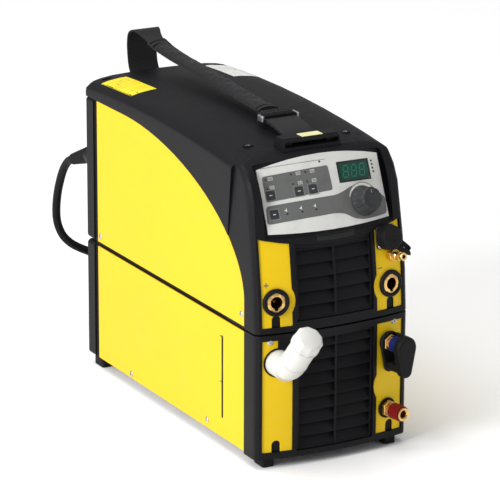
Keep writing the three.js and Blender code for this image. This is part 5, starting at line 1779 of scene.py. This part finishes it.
@dataclass(frozen=True)
class CouplingHood:
    """The rubber hood over the blue coupling: a back flange, an arm and a drop-shaped front."""

    x: float = 66.5
    z: float = 122.0
    top: float = 13.0
    low: float = 7.5
    drop: float = 26.0

    def outline(self, grow: float) -> list[Point]:
        """The drop's outline, grown by a distance.

        Args:
            grow: the distance.

        Returns:
            The corners.
        """
        points = []
        for index in range(25):
            angle = -0.18 + (math.pi + 0.36) * index / 24
            points.append((
                (self.top + grow) * math.cos(angle), (self.top + grow) * math.sin(angle)))
        for index in range(17):
            angle = math.pi + 0.18 + (math.pi - 0.36) * index / 16
            points.append((
                (self.low + grow) * math.cos(angle),
                (self.low + grow) * math.sin(angle) - self.drop))
        return points

    def layer(self, name: str, low: float, high: float, grow: float, width: float) -> None:
        """One moulded layer of the hood, with rounded edges.

        Args:
            name: the piece's name.
            low: its front.
            high: its back.
            grow: how much wider it is than the drop.
            width: how far its edges are rounded.
        """
        made = piece(name, slab(self.outline(grow), low, high), plate_seat(self.x, self.z), RUBBER)
        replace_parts(bevelled(made, width, 4), "coupling_cover")

    def build(self) -> None:
        """Makes the hood."""
        self.layer("hood_front", -35, -23.5, 0, 3.2)
        self.layer("hood_back", -6.2, -2.6, -0.2, 1.2)
        seat = plate_seat(self.x, self.z)
        arm = slab(rounded(rectangle(8.6, -7, 3.6, 34), 1.6), -25, -5)
        bevelled(piece("hood_arm", arm, seat, RUBBER), 0.8)
        low_arm = slab(rounded(rectangle(0, -25.5, 11, 9), 3), -25, -5)
        bevelled(piece("hood_foot", low_arm, seat, RUBBER), 1.0)
        stud = revolve([(0, -23.6), (1.6, -23.6), (1.6, -22.2), (0.9, -21.4), (0, -21.2)], 16)
        piece("hood_stud", stud, seat @ Matrix.Translation((-5, 0, -16)), BRASS)


# ------------------------------------------------------------------ carrying strap


@dataclass(frozen=True)
class CarryStrap:
    """The strap: anchor, webbing, slider and padded sleeve, in millimetres."""

    anchor_z: float = 348.5 - (-138.5 - 75) ** 2 / 3840 - 2.5
    tail: tuple[Point, ...] = (
        (-112, 346.5), (-92, 350.5), (-66, 353), (-30, 355), (10, 357.5), (60, 361), (110, 364),
        (160, 366.5), (200, 371), (224, 377.5), (238, 383), (247, 380), (251, 369), (250, 350),
        (246, 336), (236, 325.5), (224, 320.5), (216.5, 315), (214.5, 307), (214.5, 298))
    width: float = 38.0
    folded: float = 21.0
    pad_width: float = 26.0
    pad_thick: float = 11.0
    pad_from: float = 0.18
    pad_to: float = 0.72

    def line(self) -> list[Vector]:
        """The strap's middle line as close, even points.

        Returns:
            The points.
        """
        start = ((-139, self.anchor_z + 6.8), (-126, self.anchor_z + 7.4))
        raw = smooth_line([Vector((0, y, z)) for y, z in start + self.tail], 8)
        return evenly(raw, 200)

    def build(self) -> None:
        """Makes the strap's pieces."""
        line = self.line()
        webbing = band("strap_band", line, self.width_at, 1.9, WEBBING)
        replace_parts(webbing, "carry_strap")
        self.fold(line)
        self.pad(line)
        self.slider(line)
        smoothed("strap_anchor", BLACK)
        self.anchor_plate()

    def width_at(self, share: float) -> float:
        """The webbing's width, which is folded in towards the pad's ends.

        Args:
            share: a share of the strap's length.

        Returns:
            The width.
        """
        away = max(self.pad_from - share, share - self.pad_to)
        reach = 0.022 if share < self.pad_from else 0.09
        open_out = min(1.0, max(0.0, away / reach))
        return self.folded + (self.width - self.folded) * open_out ** 2 * (3 - 2 * open_out)

    def fold(self, line: list[Vector]) -> None:
        """The webbing's returned end under the slider, and its stitches.

        Args:
            line: the strap's middle line.
        """
        count = len(line) - 1
        lower = [p - Vector((0, 0, 2.3)) for p in line[round(0.03 * count):round(0.15 * count)]]
        band("strap_return", lower, lambda share: self.width - 1, 1.6, WEBBING)
        for row in range(2):
            index = round((0.165 + 0.006 * row) * count)
            place = Matrix.Translation(line[index] + Vector((0, 0, 1.2)))
            for stitch in range(9):
                bar = slab(rounded(rectangle(-16 + 4 * stitch, 0, 2.4, 0.5), 0.2), -0.3, 0.3)
                piece(f"stitch_{row}_{stitch}", bar, place, WEBBING)

    def pad(self, line: list[Vector]) -> None:
        """The padded sleeve: an oval, a cloth simulation that barely moves it, and stitches.

        Args:
            line: the strap's middle line.
        """
        count = len(line) - 1
        part = line[round(self.pad_from * count):round(self.pad_to * count) + 1]
        sleeve = tube_band(part, self.pad_width / 2 - 1.6, self.pad_thick / 2 - 1.6, 28)
        pad = piece("strap_pad_sleeve", sleeve, Matrix.Identity(4), CANVAS, 60)
        swell(pad, cap=1.7 * MM)
        self.crumple(pad)
        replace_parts(pad, "strap_pad")
        for side in (-1, 1):
            edge = [p + Vector((side * (self.pad_width / 2 - 1.0), 0, 0)) for p in part[2:-2]]
            piping = tube_band(edge, 1.0, 1.0, 8)
            piece(f"pad_piping_{side + 2}", piping, Matrix.Identity(4), WEBBING, 60)
        for index, spot in enumerate((1, 4, len(part) - 5, len(part) - 2)):
            hem = tube_band(part[spot - 1:spot + 2], self.pad_width / 2 - 0.5,
                            self.pad_thick / 2 - 0.4, 36)
            piece(f"pad_hem_{index}", hem, Matrix.Identity(4), WEBBING, 60)

    def crumple(self, pad: bpy.types.Object) -> None:
        """Presses soft, irregular creases into the pad.

        Args:
            pad: the sleeve.
        """
        for vertex in pad.data.vertices:
            y, x = vertex.co.y / MM, vertex.co.x / MM
            crease = math.sin(0.21 * y + 0.30 * x) * math.sin(0.083 * y + 1.1)
            ripple = math.sin(0.61 * y - 0.22 * x + 0.7) * 0.3
            vertex.co.z += (crease + ripple) * 0.55 * MM

    def slider(self, line: list[Vector]) -> None:
        """The ribbed slider that shortens the strap.

        Args:
            line: the strap's middle line.
        """
        here = line[round(0.135 * (len(line) - 1))]
        place = Matrix.Translation(here)
        grip = slab(rounded(rectangle(0, 0.6, 41, 5.4), 1.4), -5.4, 5.4)
        made = bevelled(piece("slider_grip", grip, place, BLACK), 0.6)
        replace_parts(made, "strap_slider")
        for index in range(13):
            rib = slab(rounded(rectangle(-17.4 + 2.9 * index, 1.6, 1.3, 5), 0.4), -5.9, 5.9)
            piece(f"slider_rib_{index}", rib, place, BLACK)
        for side in (-1, 1):
            end = slab(rounded(rectangle(side * 21.4, 0, 2.8, 7), 1), -5.6, 5.6)
            bevelled(piece(f"slider_end_{side + 2}", end, place, STEEL), 0.7)

    def anchor_plate(self) -> None:
        """The pale plate let into the anchor's top."""
        top = self.anchor_z + 13.5
        plate = slab(rounded(rectangle(0, 0, 26, 13), 1.5), -0.25, 0.2)
        lying = Matrix.Translation((3, -137.5, top)) @ Matrix.Rotation(-math.pi / 2, 4, "X")
        piece("anchor_plate", plate, lying, CREAM_INK)
        for index, (x, z, wide, tall) in enumerate((
                (0, 2.6, 12, 0.6), (0, -2.6, 12, 0.6), (-6, 0, 0.6, 5.8), (6, 0, 0.6, 5.8))):
            line = slab(rectangle(x, z, wide, tall), 0.1, 0.26)
            piece(f"anchor_print_{index}", line, lying, DARK_INK)


def evenly(points: list[Vector], count: int) -> list[Vector]:
    """Points spaced evenly along a line.

    Args:
        points: the line's points.
        count: how many steps to make of it.

    Returns:
        count + 1 points.
    """
    marks = [0.0]
    for near, far in zip(points, points[1:]):
        marks.append(marks[-1] + (far - near).length)
    spaced, index = [], 0
    for step in range(count + 1):
        goal = marks[-1] * step / count
        while index < len(marks) - 2 and marks[index + 1] < goal:
            index += 1
        share = (goal - marks[index]) / (marks[index + 1] - marks[index])
        spaced.append(points[index].lerp(points[index + 1], share))
    return spaced


def band(name: str, line: list[Vector], width_at: Callable[[float], float], thick: float,
         finish: Finish) -> bpy.types.Object:
    """A flat band along a line in the Y-Z plane, with a UV map in metres.

    Args:
        name: the piece's name.
        line: its middle line.
        width_at: its width at a share of its length.
        thick: its thickness.
        finish: its finish.

    Returns:
        The band.
    """
    bm = bmesh.new()
    steps = len(line) - 1
    bmesh.ops.create_grid(bm, x_segments=10, y_segments=steps, size=0.5)
    uv = bm.loops.layers.uv.verify()
    length = sum((b - a).length for a, b in zip(line, line[1:]))
    for face in bm.faces:
        for loop in face.loops:
            along = loop.vert.co.y + 0.5
            loop[uv].uv = (loop.vert.co.x * width_at(along) * MM, along * length * MM)
    for vertex in bm.verts:
        index = round((vertex.co.y + 0.5) * steps)
        along = (line[min(steps, index + 1)] - line[max(0, index - 1)]).normalized()
        normal = Vector((0, -along.z, along.y))
        across = Vector((vertex.co.x * width_at(index / steps), 0, 0))
        vertex.co = line[index] + across + normal * thick / 2
    bmesh.ops.recalc_face_normals(bm, faces=bm.faces)
    bmesh.ops.solidify(bm, geom=bm.faces[:], thickness=thick)
    return bevelled(piece(name, bm, Matrix.Identity(4), finish, 50), min(0.6, thick * 0.3))


def tube_band(line: list[Vector], half_width: float, half_thick: float,
              sides: int) -> bmesh.types.BMesh:
    """An oval cord or sleeve along a line in a Y-Z plane, closed at both ends.

    Args:
        line: its middle line.
        half_width: half its width across.
        half_thick: half its thickness.
        sides: corners of its section.

    Returns:
        The closed mesh.
    """
    bm = bmesh.new()
    rings = []
    for index, here in enumerate(line):
        along = (line[min(len(line) - 1, index + 1)] - line[max(0, index - 1)]).normalized()
        across = Vector((1, 0, 0))
        frame_turn = Matrix((across, along.cross(across), along)).transposed().to_4x4()
        oval = Matrix.Diagonal((half_width, half_thick, 1, 1))
        made = bmesh.ops.create_circle(
            bm, segments=sides, radius=1, matrix=Matrix.Translation(here) @ frame_turn @ oval)
        rings.append(list({edge for vertex in made["verts"] for edge in vertex.link_edges}))
    for near, far in zip(rings, rings[1:]):
        bmesh.ops.bridge_loops(bm, edges=near + far)
    for ring in (rings[0], rings[-1]):
        bmesh.ops.contextual_create(bm, geom=ring)
    return bm


def swell(made: bpy.types.Object, cap: float) -> None:
    """Inflates a padded piece with a short cloth simulation.

    Args:
        made: the piece.
        cap: the farthest that a point may move, in metres.
    """
    bpy.context.view_layer.objects.active = made
    made.modifiers.clear()
    remesh = made.modifiers.new("remesh", "REMESH")
    remesh.mode = "VOXEL"
    remesh.voxel_size = 0.0016
    apply_modifiers(made)
    rest = [vertex.co.copy() for vertex in made.data.vertices]
    cloth = made.modifiers.new("cloth", "CLOTH")
    cloth.settings.use_pressure = True
    cloth.settings.uniform_pressure_force = 4
    cloth.settings.effector_weights.gravity = 0
    scene = bpy.context.scene
    for number in range(1, 16):
        scene.frame_set(number)
    apply_modifiers(made)
    scene.frame_set(1)
    for vertex, start in zip(made.data.vertices, rest):
        moved = vertex.co - start
        if moved.length > cap:
            vertex.co = start + moved.normalized() * cap
    for face in made.data.polygons:
        face.use_smooth = True


def apply_modifiers(made: bpy.types.Object) -> None:
    """Makes a piece's modifiers part of its mesh.

    Args:
        made: the piece.
    """
    graph = bpy.context.evaluated_depsgraph_get()
    done = bpy.data.meshes.new_from_object(made.evaluated_get(graph), depsgraph=graph)
    made.modifiers.clear()
    made.data = done


# ------------------------------------------------------------------ rear and inside


@dataclass(frozen=True)
class RearFittings:
    """The mains switch and the gas inlet on the rear face."""

    rear_y: float = 208.0
    switch: Point = (62.0, 296.0)
    inlet: Point = (72.0, 236.0)

    def build(self) -> None:
        """Makes the rear fittings."""
        place = Matrix.Translation((self.switch[0], self.rear_y, self.switch[1]))
        profile = [(0, -14), (7, -14), (7, 0.6), (15, 0.6), (15, 2.8), (14, 3.8), (0, 3.8)]
        disc = revolve(profile, 48)
        made = piece("switch_disc", disc, place, BLACK, body="switch")
        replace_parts(made, "mains_switch")
        grip = slab(rounded(rectangle(0, 0, 8, 27), 3.5), 3, 16)
        bevelled(piece("switch_grip", grip, place, RED, body="switch"), 1.2)
        place = Matrix.Translation((self.inlet[0], self.rear_y, self.inlet[1]))
        nut = slab(polygon(6, 14, math.pi / 6), 0.4, 6)
        bevelled(piece("inlet_nut", nut, place, BRASS, 20), 0.6)
        profile = [
            (2.4, -20), (6, -20), (6, 5), (4.4, 5), (4.4, 8), (5.4, 9.5), (4.2, 12),
            (5.4, 13.5), (4.2, 16), (5, 17.5), (3.6, 20), (2.4, 20), (2.4, -20)]
        tail = piece("inlet_tail", revolve(profile, 36), place, BRASS)
        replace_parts(tail, "gas_inlet")


@dataclass(frozen=True)
class Inside:
    """The pieces inside the casing."""

    finishes: tuple[tuple[str, Finish], ...] = (
        ("fan_upper", BLACK), ("fan_lower", BLACK), ("heat_sink", ALUMINIUM),
        ("transformer", STEEL), ("coolant_tank", WHITE), ("pump", DARK), ("radiator", ALUMINIUM))

    def build(self) -> None:
        """Dresses the inner nodes."""
        for node, finish in self.finishes:
            dress(node, finish)


def main() -> None:
    """Builds the scene in order and reports each sub-assembly."""
    logging.basicConfig(level=logging.INFO, format="%(name)s: %(message)s")
    for part in (
            Studio(), MainsLead(), Casing(), ControlPanel(), WeldingSocket("plus", -70.5),
            WeldingSocket("minus", 70.5), RemoteSocket(), GasOutlet(), Filler(),
            QuickCoupling("blue", BLUE, 122.0), QuickCoupling("red", RED, 46.0), CouplingHood(),
            CarryStrap(),
            RearFittings(), Inside()):
        before = len(bpy.data.objects)
        part.build()
        log.info("%s: %d objects", type(part).__name__, len(bpy.data.objects) - before)


if __name__ == "__main__":
    main()
